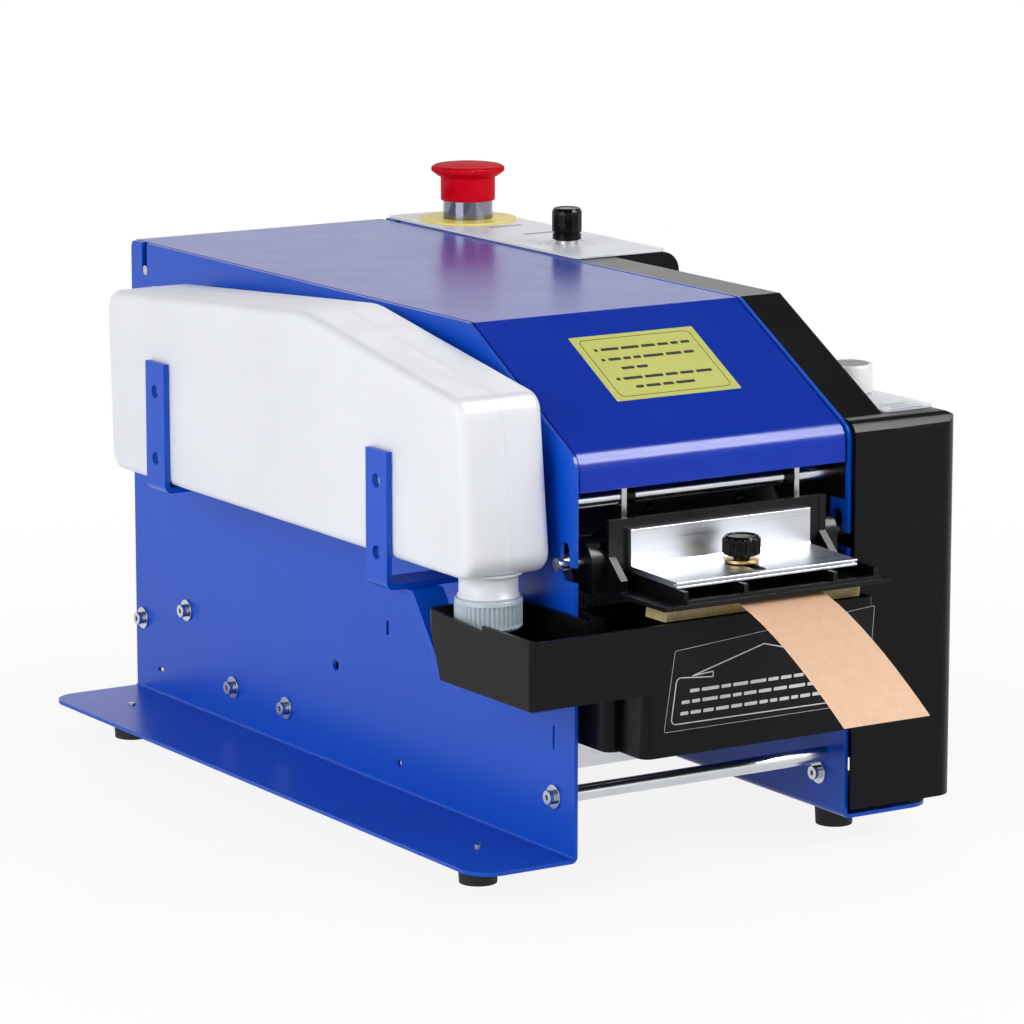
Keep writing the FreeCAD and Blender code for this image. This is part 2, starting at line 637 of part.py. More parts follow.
# ---------------------------------------------------------------- side plates and rods

REAR_AXLE_BACK = s.plate_length - s.axle_inset
ROD_PLACES = [
    (s.front_rod_back, s.front_rod_up),
    (s.plate_length - s.rear_rod_inset, s.rear_rod_up),
    (s.plate_length - s.end_rod_inset, s.end_rod_up),
    (s.arm_rod_back, s.arm_rod_up),
    (REAR_AXLE_BACK - s.axle_pitch, s.axle_up),
    (REAR_AXLE_BACK, s.axle_up),
]
FOOT_PLACES = [(x, y) for x in (-s.foot_inset, mirrored(-s.foot_inset))
               for y in (s.front_foot_back, s.rear_foot_back)]


def side_plate(side):
    """A bent plate: upright, foot flange turned outwards, notch, hinge slot and holes."""
    outer, inner, edge = side(0.0), side(s.plate_gauge), side(-s.flange_reach)
    across = sorted((inner, edge))
    section = [(edge, 0.0), (inner, 0.0), (inner, s.plate_height), (outer, s.plate_height),
               (outer, s.plate_gauge), (edge, s.plate_gauge)]
    bent = prism("Y", section, (0.0, s.plate_length),
                 rounds=[(s.bend_radius + s.plate_gauge, [1]), (s.bend_radius, [4])])
    profile = [(0.0, 0.0), (s.plate_length, 0.0), (s.plate_length, s.plate_height),
               (s.slope_run, s.plate_height), (0.0, s.nose_height)]
    side_view = prism("X", profile, across, rounds=[(s.nose_radius, [2, 3]), (s.nose_bow, [4])])
    plan = prism("Z", rectangle((edge, inner), (0.0, s.plate_length)), (0.0, s.plate_height),
                 rounds=[(s.flange_corner, [0, 3])])
    through = (across[0] - PAST, across[1] + PAST)
    half = s.notch_width / 2
    turn_up = s.notch_low + half
    end_up = s.notch_top - half
    tools = [
        block(through, (-PAST, s.notch_back), (s.notch_low, s.notch_low + s.notch_width)),
        block(through, (s.notch_back - half, s.notch_back + half), (turn_up, end_up)),
        round_bar("X", through, (s.notch_back, turn_up), s.notch_width),
        round_bar("X", through, (s.notch_back, end_up), s.notch_width),
        block(through, hinge_slot_span(), (HINGE_UP, s.plate_height + PAST)),
        round_bar("X", through, (HINGE_BACK, HINGE_UP), s.hinge_pin_across + 4 * s.fit_gap),
    ]
    for back, up in ROD_PLACES:
        tools.append(round_bar("X", through, (back, up), s.screw_across + 2 * s.fit_gap))
    for x, y in FOOT_PLACES:
        tools.append(round_bar("Z", (-PAST, s.plate_gauge + PAST), (x, y),
                               s.foot_screw_across + 2 * s.fit_gap))
    return common(common(bent, side_view), plan), tools, through


def hinge_slot_span():
    half = s.hinge_pin_across / 2 + 2 * s.fit_gap
    return (HINGE_BACK - half, HINGE_BACK + half)


def side_plates():
    left, tools, through = side_plate(lambda x: 0.0 + x)
    rear_slit = s.plate_length - s.rear_slit_inset
    spare_holes = [
        round_bar("X", through, (s.spare_hole_back, s.rear_rod_up), s.spare_hole_across),
        round_bar("X", through, (s.low_hole_back, s.low_hole_up), s.low_hole_across),
        block(through, (s.front_rod_back, s.front_rod_back + s.front_slit_width),
              (s.front_slit_up, s.front_slit_up + s.front_slit_long)),
        block(through, (s.middle_slit_back, s.middle_slit_back + s.middle_slit_width),
              (s.middle_slit_up, s.middle_slit_up + s.middle_slit_long)),
        block(through, (rear_slit, rear_slit + s.rear_slit_long),
              (s.low_hole_up - s.rear_slit_width / 2, s.low_hole_up + s.rear_slit_width / 2)),
    ]
    node("left_side_plate", cut(left, *tools, *spare_holes))
    right, tools, through = side_plate(mirrored)
    tools.append(round_bar("X", through, (s.feed_back, FEED_UP), s.shaft_across + 2.0))
    tools.append(round_bar("X", through, (s.housing_screw_back, s.housing_screw_up),
                           s.screw_across + 2 * s.fit_gap))
    node("right_side_plate", cut(right, *tools))


def tie_rod(back, up):
    bar = round_bar("X", (LEFT_INNER, RIGHT_INNER), (back, up), s.rod_across)
    taps = [round_bar("X", span, (back, up), s.screw_across + 2 * s.fit_gap)
            for span in ((LEFT_INNER - PAST, LEFT_INNER + s.rod_tap_depth),
                         (RIGHT_INNER - s.rod_tap_depth, RIGHT_INNER + PAST))]
    return cut(bar, *taps)


def rods():
    node("front_tie_rod", tie_rod(*ROD_PLACES[0]))
    node("inner_tie_rods", group(*[tie_rod(*spot) for spot in ROD_PLACES[1:4]]))
    node("roll_axles", group(*[tie_rod(*spot) for spot in ROD_PLACES[4:6]]))
    screws = []
    washers = []
    for back, up in ROD_PLACES:
        for outer, away in ((0.0, -1.0), (RIGHT_OUTER, 1.0)):
            screws.append(rod_screw(outer, away, back, up))
            span = sorted((outer + away * 0.0, outer + away * s.washer_gauge))
            washers.append(tube("X", span, (back, up), s.washer_across,
                                s.screw_across + 2 * s.fit_gap))
    lower = (s.housing_screw_back, s.housing_screw_up)
    screws.append(rod_screw(RIGHT_INNER, -1.0, *lower))
    washers.append(tube("X", (RIGHT_INNER - s.washer_gauge, RIGHT_INNER), lower,
                        s.washer_across, s.screw_across + 2 * s.fit_gap))
    node("rod_screws", group(*screws))
    node("rod_washers", group(*washers))


def rod_screw(outer, away, back, up):
    """A socket screw whose head sits on its washer, away from the plate."""
    seat = outer + away * s.washer_gauge
    top = seat + away * s.screw_head_height
    tip = seat - away * s.screw_length
    head = round_bar("X", sorted((seat, top)), (back, up), s.screw_head_across)
    shank = round_bar("X", sorted((tip, seat)), (back, up), s.screw_across)
    key = round_bar("X", sorted((top - away * s.screw_key, top + away * PAST)), (back, up),
                    s.screw_key)
    return cut(fuse(head, shank), key)


def feet():
    rubber = []
    screws = []
    radius = s.foot_across / 2
    bore = s.foot_screw_across / 2 + s.fit_gap
    recess = s.foot_screw_head_across / 2 + s.run_gap
    for x, y in FOOT_PLACES:
        rubber.append(turned("Z", (x, y, -s.foot_height), [
            (recess, 0.0), (radius - s.foot_taper, 0.0), (radius, s.foot_height),
            (bore, s.foot_height), (bore, s.foot_recess), (recess, s.foot_recess)]))
        seat = s.foot_recess - s.foot_height
        head = round_bar("Z", (seat - s.foot_screw_across, seat), (x, y),
                         s.foot_screw_head_across)
        shank = round_bar("Z", (seat, s.plate_gauge + s.foot_screw_proud), (x, y),
                          s.foot_screw_across)
        screws.append(fuse(head, shank))
    node("rubber_feet", group(*rubber))
    node("foot_screws", group(*screws))


# ---------------------------------------------------------------- bottle and brackets

def bottle_outline(inset, shift):
    """Side view of the bottle, moved inwards by an inset."""
    return [
        (s.bottle_front + inset, s.bottle_low_front + inset),
        (s.bottle_rear - s.bottle_rear_lean - inset, s.bottle_low_front + inset),
        (s.bottle_rear - inset, s.bottle_top_rear - shift),
        (s.bottle_knee_back, s.bottle_knee_up - inset),
        (s.bottle_front + s.bottle_front_lean + inset, s.bottle_top_front - shift),
    ]


def bottle():
    span = (BOTTLE_OUTER, -s.bottle_inner)
    shell = prism("X", bottle_outline(0.0, 0.0), span, rounds=[(s.bottle_corner, [0, 1, 2, 4])],
                  end_round=s.bottle_edge)
    inner_span = (span[0] + s.bottle_wall, span[1] - s.bottle_wall)
    hollow = prism("X", bottle_outline(s.bottle_wall, s.bottle_wall), inner_span,
                   rounds=[(s.bottle_corner - s.bottle_wall, [0, 1, 2, 4])],
                   end_round=s.bottle_edge - s.bottle_wall)
    centre = (neck_left(), s.neck_back)
    neck_span = (s.bottle_low_front - s.neck_length, s.bottle_low_front + s.bottle_wall)
    neck = round_bar("Z", neck_span, centre, s.neck_across)
    bore = round_bar("Z", (neck_span[0] - PAST, neck_span[1] + PAST), centre,
                     s.neck_across - 2 * s.bottle_wall)
    node("water_bottle", cut(fuse(shell, neck), fuse(hollow, bore)))
    cap_top = s.bottle_low_front - s.cap_top_gap
    cap_low = cap_top - s.cap_height
    radius = s.cap_across / 2
    inner = s.neck_across / 2 + s.fit_gap
    valve = s.valve_across / 2
    floor_top = s.bottle_low_front - s.neck_length - s.run_gap - cap_low
    node("bottle_cap", turned("Z", (centre[0], centre[1], cap_low), [
        (0.0, -s.valve_length), (valve, -s.valve_length), (valve, 0.0),
        (radius - s.cap_wall / 2, 0.0), (radius, s.cap_wall), (radius, s.cap_height),
        (inner, s.cap_height), (inner, floor_top), (0.0, floor_top)]))
    return cap_low


def neck_left():
    return (BOTTLE_OUTER - s.bottle_inner) / 2


def bracket(back, low, top):
    """A J-shaped strip: upright outside the bottle, floor, and a flange on the plate."""
    outer, gauge = BRACKET_OUTER, s.bracket_gauge
    shape = [(outer, low), (0.0, low), (0.0, low + s.bracket_weld_flange),
             (-gauge, low + s.bracket_weld_flange), (-gauge, low + gauge),
             (outer + gauge, low + gauge), (outer + gauge, top), (outer, top)]
    strip = prism("Y", shape, (back, back + s.bracket_width),
                  rounds=[(s.bend_radius + gauge, [0, 1]), (s.bend_radius, [4, 5])])
    through = (outer - PAST, outer + gauge + PAST)
    middle = back + s.bracket_width / 2
    holes = [round_bar("X", through, (middle, up), s.bracket_hole_across)
             for up in (top - s.bracket_hole_inset, low + s.bracket_low_hole)]
    return cut(strip, *holes)


def brackets():
    node("front_bottle_bracket",
         bracket(s.front_bracket_back, s.front_bracket_low, s.front_bracket_top))
    node("rear_bottle_bracket",
         bracket(s.rear_bracket_back, s.bottle_low_front - s.run_gap - s.bracket_gauge,
                 s.rear_bracket_top))


def tank_strap():
    """A bent strip that hangs from the front bracket and carries the trough."""
    top, floor, gauge = s.front_bracket_low, s.trough_floor, s.bracket_gauge
    rear = s.front_bracket_back + s.bracket_width
    run = s.strap_top_bend_back - s.strap_bend_back
    shift = bend_shift(gauge, run, top - floor)
    shape = [
        (rear, top), (s.strap_top_bend_back, top), (s.strap_bend_back, floor),
        (-s.strap_reach, floor), (-s.strap_reach, floor - gauge),
        (s.strap_bend_back + shift, floor - gauge),
        (s.strap_top_bend_back + shift, top - gauge), (rear, top - gauge)]
    node("tank_strap", prism("X", shape, (-s.strap_left, -s.strap_left + s.strap_width)))


# ---------------------------------------------------------------- water tank and brush

def front_wall(up, inset):
    """The tank's front wall: its distance from the plates' front edge at a height."""
    share = (s.tank_rim - up) / (s.tank_rim - s.basin_floor)
    return s.tank_front_draft * share - s.tank_front + inset


def tank_part(span, rear_top, rear_low, floor, inset, rim, corner=None):
    shape = [(front_wall(s.tank_rim, inset), rim), (front_wall(floor, inset), floor + inset),
             (rear_low - inset, floor + inset), (rear_top - inset, rim)]
    return prism("X", shape, span, end_round=corner, ends=(span[0],), between=(0, 1))


def tank_solid(inset, rim):
    """The tank's outer shape, or with an inset the space inside it."""
    trough_low = s.trough_back - s.trough_back_lean
    return fuse(
        tank_part((-s.trough_outer + inset, -s.trough_inner - inset), s.trough_back,
                  trough_low, s.trough_floor, inset, rim),
        tank_part((-s.trough_outer + inset, s.basin_left), -s.link_back, -s.link_back,
                  s.trough_floor, inset, rim),
        tank_part((s.block_left + inset, s.basin_right - inset), s.basin_back, s.basin_back,
                  s.trough_floor, inset, rim),
        tank_part((s.basin_left + inset, s.basin_right - inset), s.basin_back, s.basin_back,
                  s.basin_floor, inset, rim, s.tank_corner - inset),
        alcove(inset))


def alcove(inset):
    """The basin's wider part between the plates."""
    plan = rectangle((s.alcove_left + inset, s.basin_left + s.tank_corner + s.tank_wall),
                     (-s.alcove_front + inset, s.basin_back - inset))
    return prism("Z", plan, (s.basin_floor + inset, s.trough_floor + s.tank_wall + inset),
                 rounds=[(s.tank_corner - inset, [0])])


def water_tank(cap_low):
    plan = prism("Z", rectangle((-s.trough_outer, s.basin_right),
                                (-s.tank_front, s.trough_back)),
                 (s.basin_floor, s.tank_rim),
                 rounds=[(s.tank_corner, [0, 1, 3])])
    outside = common(tank_solid(0.0, s.tank_rim), plan)
    dip = prism("X", [(s.rim_step_back, s.tank_rim - s.rim_dip), (s.trough_back, s.tank_rim),
                      (s.trough_back, s.tank_rim + PAST), (s.rim_step_back, s.tank_rim + PAST)],
                (-s.trough_outer - PAST, -s.trough_outer + s.tank_wall + PAST))
    shell = cut(outside, tank_solid(s.tank_wall, s.tank_rim + PAST), dip)
    floor = s.trough_floor + s.tank_wall
    reach = s.cap_across / 2 - s.cap_wall
    posts = [block((neck_left() + side * reach - s.cap_wall / 2,
                    neck_left() + side * reach + s.cap_wall / 2),
                   (s.neck_back - s.cap_post_length / 2, s.neck_back + s.cap_post_length / 2),
                   (floor, cap_low - s.run_gap))
             for side in (-1.0, 1.0)]
    node("water_tank", fuse(shell, *posts))


def brush():
    floor = s.basin_floor + s.tank_wall
    span = (s.brush_left, s.brush_left + s.brush_long)
    front, rear = -s.brush_front + s.run_gap, -s.brush_front + s.brush_deep
    lean = s.tank_front_draft
    block_top = floor + s.brush_block_height
    node("brush_block", prism("X", [
        (front + lean, floor), (rear + lean, floor), (rear + lean, block_top),
        (front + lean, block_top)], span, rounds=[(s.bend_radius, [0, 1])]))
    node("brush_bristles", prism("X", [
        (front + lean + s.run_gap, block_top), (rear + lean - s.run_gap, block_top),
        (rear, s.tape_level), (front, s.tape_level)],
        (span[0] + s.run_gap, span[1] - s.run_gap)))


# ---------------------------------------------------------------- press frame and weight

SOLE_LOW = s.tape_level + s.tape_gauge + s.run_gap
SOLE_TOP = SOLE_LOW + s.sole_gauge
FRAME_REAR = s.frame_wall - s.frame_face
THUMB_LEFT = BAY_CENTRE - s.thumb_shift


def press_frame():
    wall = block((s.frame_left, s.frame_right), (-s.frame_face, FRAME_REAR),
                 (SOLE_LOW, s.frame_top))
    sole_span = (s.frame_left - s.sole_over, s.frame_right + s.sole_over)
    sole = block(sole_span, (-s.sole_front, FRAME_REAR), (SOLE_LOW, SOLE_TOP))
    rail = block((s.rail_left, s.rail_right),
                 (-s.sole_front + s.run_gap, -s.sole_front + s.run_gap + s.rail_deep),
                 (SOLE_LOW, SOLE_TOP + s.rail_height))
    pieces = [wall, sole, rail]
    gusset = [(FRAME_REAR, SOLE_LOW), (-s.frame_toe, SOLE_LOW),
              (-s.frame_toe, s.frame_toe_up), (-s.frame_face - s.run_gap, s.frame_kink),
              (-s.frame_face - s.run_gap, s.frame_top), (FRAME_REAR, s.frame_top)]
    boss_ends = []
    for start, away in ((s.frame_left, 1.0), (s.frame_right, -1.0)):
        pieces.append(prism("X", gusset, sorted((start, start + away * s.frame_end_wall))))
        end = start - away * s.pivot_boss_reach
        boss_ends.append(end)
        pieces.append(round_bar("X", sorted((end, start + away * s.frame_end_wall)),
                                (PIVOT_BACK, s.pivot_up), s.pivot_boss_across))
        pieces.append(block(sorted((start, start + away * s.frame_end_wall)),
                            (-s.frame_face, PIVOT_BACK),
                            (s.pivot_up - s.pivot_boss_across / 2,
                             s.pivot_up + s.pivot_boss_across / 2)))
        pieces.append(block(sorted((end, start + away * s.frame_end_wall)),
                            (PIVOT_BACK - s.pivot_boss_across / 2, PIVOT_BACK + s.pivot_pin_across),
                            (SOLE_LOW, s.pivot_up)))
    middle = BAY_CENTRE + s.rib_shift
    for x in (s.rail_left + s.rib_gauge / 2, middle - s.rib_pitch / 2, middle + s.rib_pitch / 2,
              s.rail_right - s.rib_gauge / 2):
        pieces.append(weight_rest(x))
    pieces.append(round_bar("Z", (SOLE_LOW, stud_boss_top()), (THUMB_LEFT, -s.thumb_back),
                            s.stud_boss_across))
    bore = s.pivot_pin_across + 2 * s.fit_gap
    tools = [round_bar("X", (boss_ends[0] - PAST, s.frame_left), (PIVOT_BACK, s.pivot_up), bore),
             round_bar("X", (s.frame_right, boss_ends[1] + PAST), (PIVOT_BACK, s.pivot_up), bore),
             round_bar("Z", (SOLE_TOP, s.frame_top), (THUMB_LEFT, -s.thumb_back),
                       s.thumb_stud_across + 2 * s.fit_gap)]
    node("press_frame", cut(fuse(*pieces), *tools))
    pins = [round_bar("X", (-s.pivot_pin_proud, s.frame_left), (PIVOT_BACK, s.pivot_up),
                      s.pivot_pin_across),
            round_bar("X", (s.frame_right, RIGHT_OUTER + s.pivot_pin_proud),
                      (PIVOT_BACK, s.pivot_up), s.pivot_pin_across)]
    node("press_pivot_pins", group(*pins))


def weight_underside(back):
    """Height of the weight plate's underside at a distance behind the plates' front edge."""
    share = (-back - s.frame_face) / (s.weight_reach - s.frame_face)
    return s.weight_heel - s.weight_gauge - s.weight_fall * share


def stud_boss_top():
    return weight_underside(-s.thumb_back - s.stud_boss_across) - s.run_gap


def weight_rest(x):
    """A rib on the sole, under the weight plate."""
    front, rear = -s.sole_front + s.run_gap + s.rail_deep, -s.frame_face
    half = s.rib_gauge / 2
    shape = [(front, SOLE_LOW), (rear, SOLE_LOW), (rear, weight_underside(rear) - s.run_gap),
             (front, weight_underside(front) - s.run_gap)]
    return prism("X", shape, (x - half, x + half))


def weight_plate():
    rear = -s.frame_face - s.run_gap
    face = rear - s.weight_upright_gauge
    front = -s.weight_reach
    front_low = weight_underside(front)
    shape = [(rear, s.weight_top), (face, s.weight_top), (face, s.weight_heel),
             (front, front_low + s.weight_gauge), (front, front_low),
             (rear, weight_underside(rear))]
    plate = prism("X", shape, (s.weight_left, s.weight_right), rounds=[(s.bend_radius, [2])])
    middle = front_low + s.weight_gauge / 2
    groove = block((s.weight_left - PAST, s.weight_right + PAST), (front - PAST, front + 2.5),
                   (middle - s.weight_split / 2, middle + s.weight_split / 2))
    half = s.weight_slot_width / 2
    slot = prism("Z", rectangle((THUMB_LEFT - half, THUMB_LEFT + half),
                                (front + s.weight_slot_land, -s.weight_slot_rear)),
                 (front_low - PAST, s.weight_top), rounds=[(half - s.fit_gap, [0, 1, 2, 3])])
    node("weight_plate", cut(plate, groove, slot))


def thumbscrew():
    plate_top = weight_underside(-s.thumb_back) + s.weight_gauge
    lift = s.run_gap + s.collar_across / 2 * s.weight_fall / (s.weight_reach - s.frame_face)
    seat = plate_top + lift
    centre = (THUMB_LEFT, -s.thumb_back, seat)
    stud = s.thumb_stud_across / 2
    node("thumbscrew_collar", turned("Z", centre, [
        (stud + s.fit_gap, 0.0), (s.collar_across / 2, 0.0),
        (s.collar_across / 2, s.collar_gauge), (stud + s.fit_gap, s.collar_gauge)]))
    neck, knob = s.thumb_neck_across / 2, s.thumb_across / 2
    knob_low = s.collar_gauge + s.thumb_neck_length
    knob_top = knob_low + s.thumb_height
    soft = s.bend_radius
    node("thumbscrew_knob", turned("Z", centre, [
        (0.0, SOLE_TOP - seat + s.run_gap), (stud, SOLE_TOP - seat + s.run_gap),
        (stud, s.collar_gauge), (neck, s.collar_gauge), (neck, knob_low),
        (knob - soft, knob_low), (knob, knob_low + soft), (knob, knob_top - soft),
        (knob - soft, knob_top), (0.0, knob_top)]))


# ---------------------------------------------------------------- guide rod, guard and cutter

def guide_rod():
    span = (LEFT_INNER, RIGHT_INNER)
    centre = (s.guide_rod_back, s.guide_rod_up)
    node("guide_rod", round_bar("X", span, centre, s.rod_across))
    fingers = []
    collars = []
    bore = s.rod_across + 2 * s.fit_gap
    for side in (-1.0, 1.0):
        middle = TAPE_CENTRE + s.finger_shift + side * s.finger_pitch / 2
        finger = (middle - s.finger_across / 2, middle + s.finger_across / 2)
        rear = s.guide_rod_back - s.rod_across / 2 - s.fit_gap
        strip = block(finger, (rear - s.finger_gauge, rear),
                      (s.guide_rod_up - s.finger_drop, s.guide_rod_up + s.finger_rise))
        hub = round_bar("X", finger, centre, bore + 2 * s.finger_gauge)
        hole = round_bar("X", (finger[0] - PAST, finger[1] + PAST), centre, bore)
        fingers.append(cut(fuse(strip, hub), hole))
        seat = middle - side * s.finger_across / 2
        far = seat - side * s.collar_rod_length
        collars.append(tube("X", sorted((seat, far)), centre, s.collar_rod_across, bore))
    node("guide_fingers", group(*fingers))
    node("rod_collars", group(*collars))


def guard_plate():
    faces = (s.guard_back, s.guard_back + s.guard_gauge)
    left, right = TAPE_CENTRE - s.guard_half, TAPE_CENTRE + s.guard_half
    wing = s.guard_low + s.guard_wing_rise
    rise = (s.guard_top - wing) / 2
    shape = [(LEFT_INNER, s.guard_low), (RIGHT_INNER, s.guard_low),
             (RIGHT_INNER, wing), (right + 2 * rise, wing),
             (right + rise / 2, wing + rise), (right, s.guard_top),
             (left, s.guard_top), (left - rise / 2, wing + rise),
             (left - 2 * rise, wing), (LEFT_INNER, wing)]
    screws = []
    holes = []
    for side in (-1.0, 1.0):
        centre = (TAPE_CENTRE + side * s.guard_screw_pitch / 2, s.guard_screw_up)
        holes.append(round_bar("Y", (faces[0] - PAST, faces[1] + PAST), centre,
                               s.screw_across + 2 * s.fit_gap))
        head = round_bar("Y", (faces[0] - s.screw_head_height, faces[0]), centre,
                         s.guard_screw_across)
        shank = round_bar("Y", faces, centre, s.screw_across)
        key = round_bar("Y", (faces[0] - s.screw_head_height - PAST, faces[0] - PAST), centre,
                        s.screw_key)
        screws.append(cut(fuse(head, shank), key))
    node("guard_plate", cut(prism("Y", shape, faces), *holes))
    node("guard_screws", group(*screws))


def cutter():
    bed = (SHEAR_BACK, SHEAR_BACK + s.bed_deep)
    node("fixed_blade", block((LEFT_INNER, RIGHT_INNER), bed,
                              (s.tape_level - s.bed_height, s.tape_level)))
    rear = SHEAR_BACK - s.run_gap
    front = rear - s.blade_gauge
    left, right = TAPE_CENTRE - s.blade_width / 2, TAPE_CENTRE + s.blade_width / 2
    low = s.tape_level + s.tape_gauge + s.blade_open
    top = low + s.blade_height
    shape = [(left, low), (right, low + s.blade_skew), (right, top), (left, top)]
    blade = prism("Y", shape, (front, rear))
    base = top + s.run_gap + s.press_travel
    pins = []
    holes = []
    middle = (front + rear) / 2
    for side in (-1.0, 1.0):
        centre = (TAPE_CENTRE + side * s.solenoid_width / 4, middle)
        pins.append(round_bar("Z", (top - PAST, base + s.solenoid_height / 2), centre,
                              s.plunger_across))
        holes.append(round_bar("Z", (base - PAST, base + s.solenoid_height / 2 + PAST), centre,
                               s.plunger_across + 2 * s.fit_gap))
    node("moving_blade", fuse(blade, *pins))
    width = s.solenoid_width / 2
    body = block((TAPE_CENTRE - width, TAPE_CENTRE + width),
                 (s.guard_back + s.guard_gauge, s.guard_back + s.guard_gauge + s.solenoid_deep),
                 (base, base + s.solenoid_height))
    node("cutter_solenoid", cut(body, *holes))


# ---------------------------------------------------------------- tape

ROLL_BACK = REAR_AXLE_BACK - s.axle_pitch / 2
ROLL_UP = s.axle_up + root(
    (s.roll_across / 2 + s.roller_across / 2 + s.run_gap)
    * (s.roll_across / 2 + s.roller_across / 2 + s.run_gap)
    - s.axle_pitch / 2 * s.axle_pitch / 2)


def tape_roll():
    span = (TAPE_CENTRE - s.tape_width / 2, TAPE_CENTRE + s.tape_width / 2)
    centre = (ROLL_BACK, ROLL_UP)
    node("tape_roll", tube("X", span, centre, s.roll_across, s.core_across))
    node("tape_core", tube("X", span, centre, s.core_across, s.core_across - 2 * s.core_wall))
    rollers = (LEFT_INNER + s.roller_end_gap, RIGHT_INNER - s.roller_end_gap)
    bore = s.rod_across + 2 * s.fit_gap
    for name, spot in (("front_roll_roller", ROD_PLACES[4]), ("rear_roll_roller", ROD_PLACES[5])):
        node(name, tube("X", rollers, spot, s.roller_across, bore))


def tape():
    """The piece that has been cut off, and the web that waits behind the blade."""
    span = (TAPE_CENTRE - s.tape_width / 2, TAPE_CENTRE + s.tape_width / 2)
    level, gauge = s.tape_level, s.tape_gauge
    start = -s.tank_front + s.tank_wall
    steps = 10
    droop = []
    for step in range(1, steps + 1):
        share = step / steps
        droop.append((start - s.tape_reach * share,
                      level - s.tape_drop * Size(share ** s.tape_curl,
                                                 "(%r ^ %s)" % (share, s.tape_curl.formula))))
    under = [(SHEAR_BACK - s.blade_gauge - 2 * s.run_gap - s.guard_gauge, level), (start, level)]
    under += droop
    over = [(back, up + gauge) for back, up in reversed(under)]
    node("tape_strip", prism("X", under + over, span))

    kink = s.feed_back + s.pressure_across / 2
    reach_y, reach_z = kink - ROLL_BACK, level - ROLL_UP
    radius = s.roll_across / 2 + gauge
    square = reach_y * reach_y + reach_z * reach_z
    length = root(square - radius * radius)
    touch_y = ROLL_BACK + (radius * radius * reach_y + radius * length * reach_z) / square
    touch_z = ROLL_UP + (radius * radius * reach_z - radius * length * reach_y) / square
    web = [(SHEAR_BACK, level), (kink, level), (touch_y, touch_z),
           (touch_y, touch_z + gauge), (kink, level + gauge), (SHEAR_BACK, level + gauge)]
    node("tape_web", prism("X", web, span))


# ---------------------------------------------------------------- feed and drive

PRESSURE_UP = s.tape_level + s.tape_gauge + s.run_gap + s.pressure_across / 2
PULLEY_SPAN = (RIGHT_OUTER + s.pulley_gap, RIGHT_OUTER + s.pulley_gap + s.pulley_width)


def feed():
    centre = (s.feed_back, FEED_UP)
    half = s.feed_width / 2
    node("feed_roller", tube("X", (TAPE_CENTRE - half, TAPE_CENTRE + half), centre,
                             s.feed_across, s.shaft_across))
    bore = s.shaft_across + 2 * s.fit_gap
    spans = ((LEFT_INNER, LEFT_INNER + s.bearing_length),
             (RIGHT_INNER - s.bearing_length, RIGHT_INNER))
    node("feed_bearings", group(*[tube("X", span, centre, s.bearing_across, bore)
                                  for span in spans]))
    node("feed_shaft", round_bar("X", (LEFT_INNER + s.run_gap, PULLEY_SPAN[1]), centre,
                                 s.shaft_across))
    node("feed_pulley", tube("X", PULLEY_SPAN, centre, s.pulley_across, s.shaft_across))


def pressure():
    centre = (s.feed_back, PRESSURE_UP)
    half = s.pressure_width / 2
    node("pressure_wheel", tube("X", (TAPE_CENTRE - half, TAPE_CENTRE + half), centre,
                                s.pressure_across, s.pressure_axle_across + 2 * s.fit_gap))
    pivot = ROD_PLACES[3]
    inner, gauge = half + s.run_gap, s.arm_gauge
    end = s.arm_end_across
    cheeks = []
    for side in (-1.0, 1.0):
        span = sorted((TAPE_CENTRE + side * inner, TAPE_CENTRE + side * (inner + gauge)))
        cheeks.append(prism("X", [
            (centre[0], centre[1] - end / 2), (pivot[0], pivot[1] - end / 2),
            (pivot[0], pivot[1] + end / 2), (centre[0], centre[1] + end / 2)], span))
        cheeks += [round_bar("X", span, spot, end) for spot in (centre, pivot)]
    axle = round_bar("X", (TAPE_CENTRE - inner - gauge, TAPE_CENTRE + inner + gauge), centre,
                     s.pressure_axle_across)
    bridge_back = centre[0] + s.pressure_across / 2 + s.run_gap + gauge
    bridge_up = pivot[1] + end / 2 - gauge
    bridge = block((TAPE_CENTRE - inner, TAPE_CENTRE + inner),
                   (pivot[0] - end / 2 - gauge, pivot[0] - end / 2),
                   (bridge_up - end, bridge_up))
    hole = round_bar("X", (LEFT_INNER, RIGHT_INNER), pivot, s.rod_across + 2 * s.fit_gap)
    node("pressure_arm", cut(fuse(*cheeks, axle, bridge), hole))


def drive():
    centre = (s.motor_back, FEED_UP)
    face = PULLEY_SPAN[1] + s.pulley_gap / 2
    node("motor_pulley", fuse(
        round_bar("X", PULLEY_SPAN, centre, s.pulley_across),
        round_bar("X", (PULLEY_SPAN[0], face + s.motor_length / 4), centre, s.shaft_across)))
    body = round_bar("X", (face, face + s.motor_length), centre, s.motor_across)
    hole = round_bar("X", (face - PAST, face + s.motor_length / 4 + PAST), centre,
                     s.shaft_across + 2 * s.fit_gap)
    reach = s.motor_across / 2
    clear = s.pulley_across / 2 + s.belt_gauge + s.run_gap
    legs = []
    for side in (-1.0, 1.0):
        up = sorted((centre[1] + side * (clear + s.run_gap),
                     centre[1] + side * (clear + s.run_gap + s.motor_foot)))
        legs.append(block((RIGHT_OUTER, face + s.motor_foot),
                          (centre[0] - s.motor_foot / 2, centre[0] + s.motor_foot / 2), up))
    node("motor", cut(fuse(body, *legs), hole))
    middle = (PULLEY_SPAN[0] + PULLEY_SPAN[1]) / 2
    span = (middle - s.belt_width / 2, middle + s.belt_width / 2)
    inner = s.pulley_across / 2 + s.run_gap
    node("drive_belt", cut(belt_solid(span, inner + s.belt_gauge),
                           belt_solid((span[0] - PAST, span[1] + PAST), inner)))


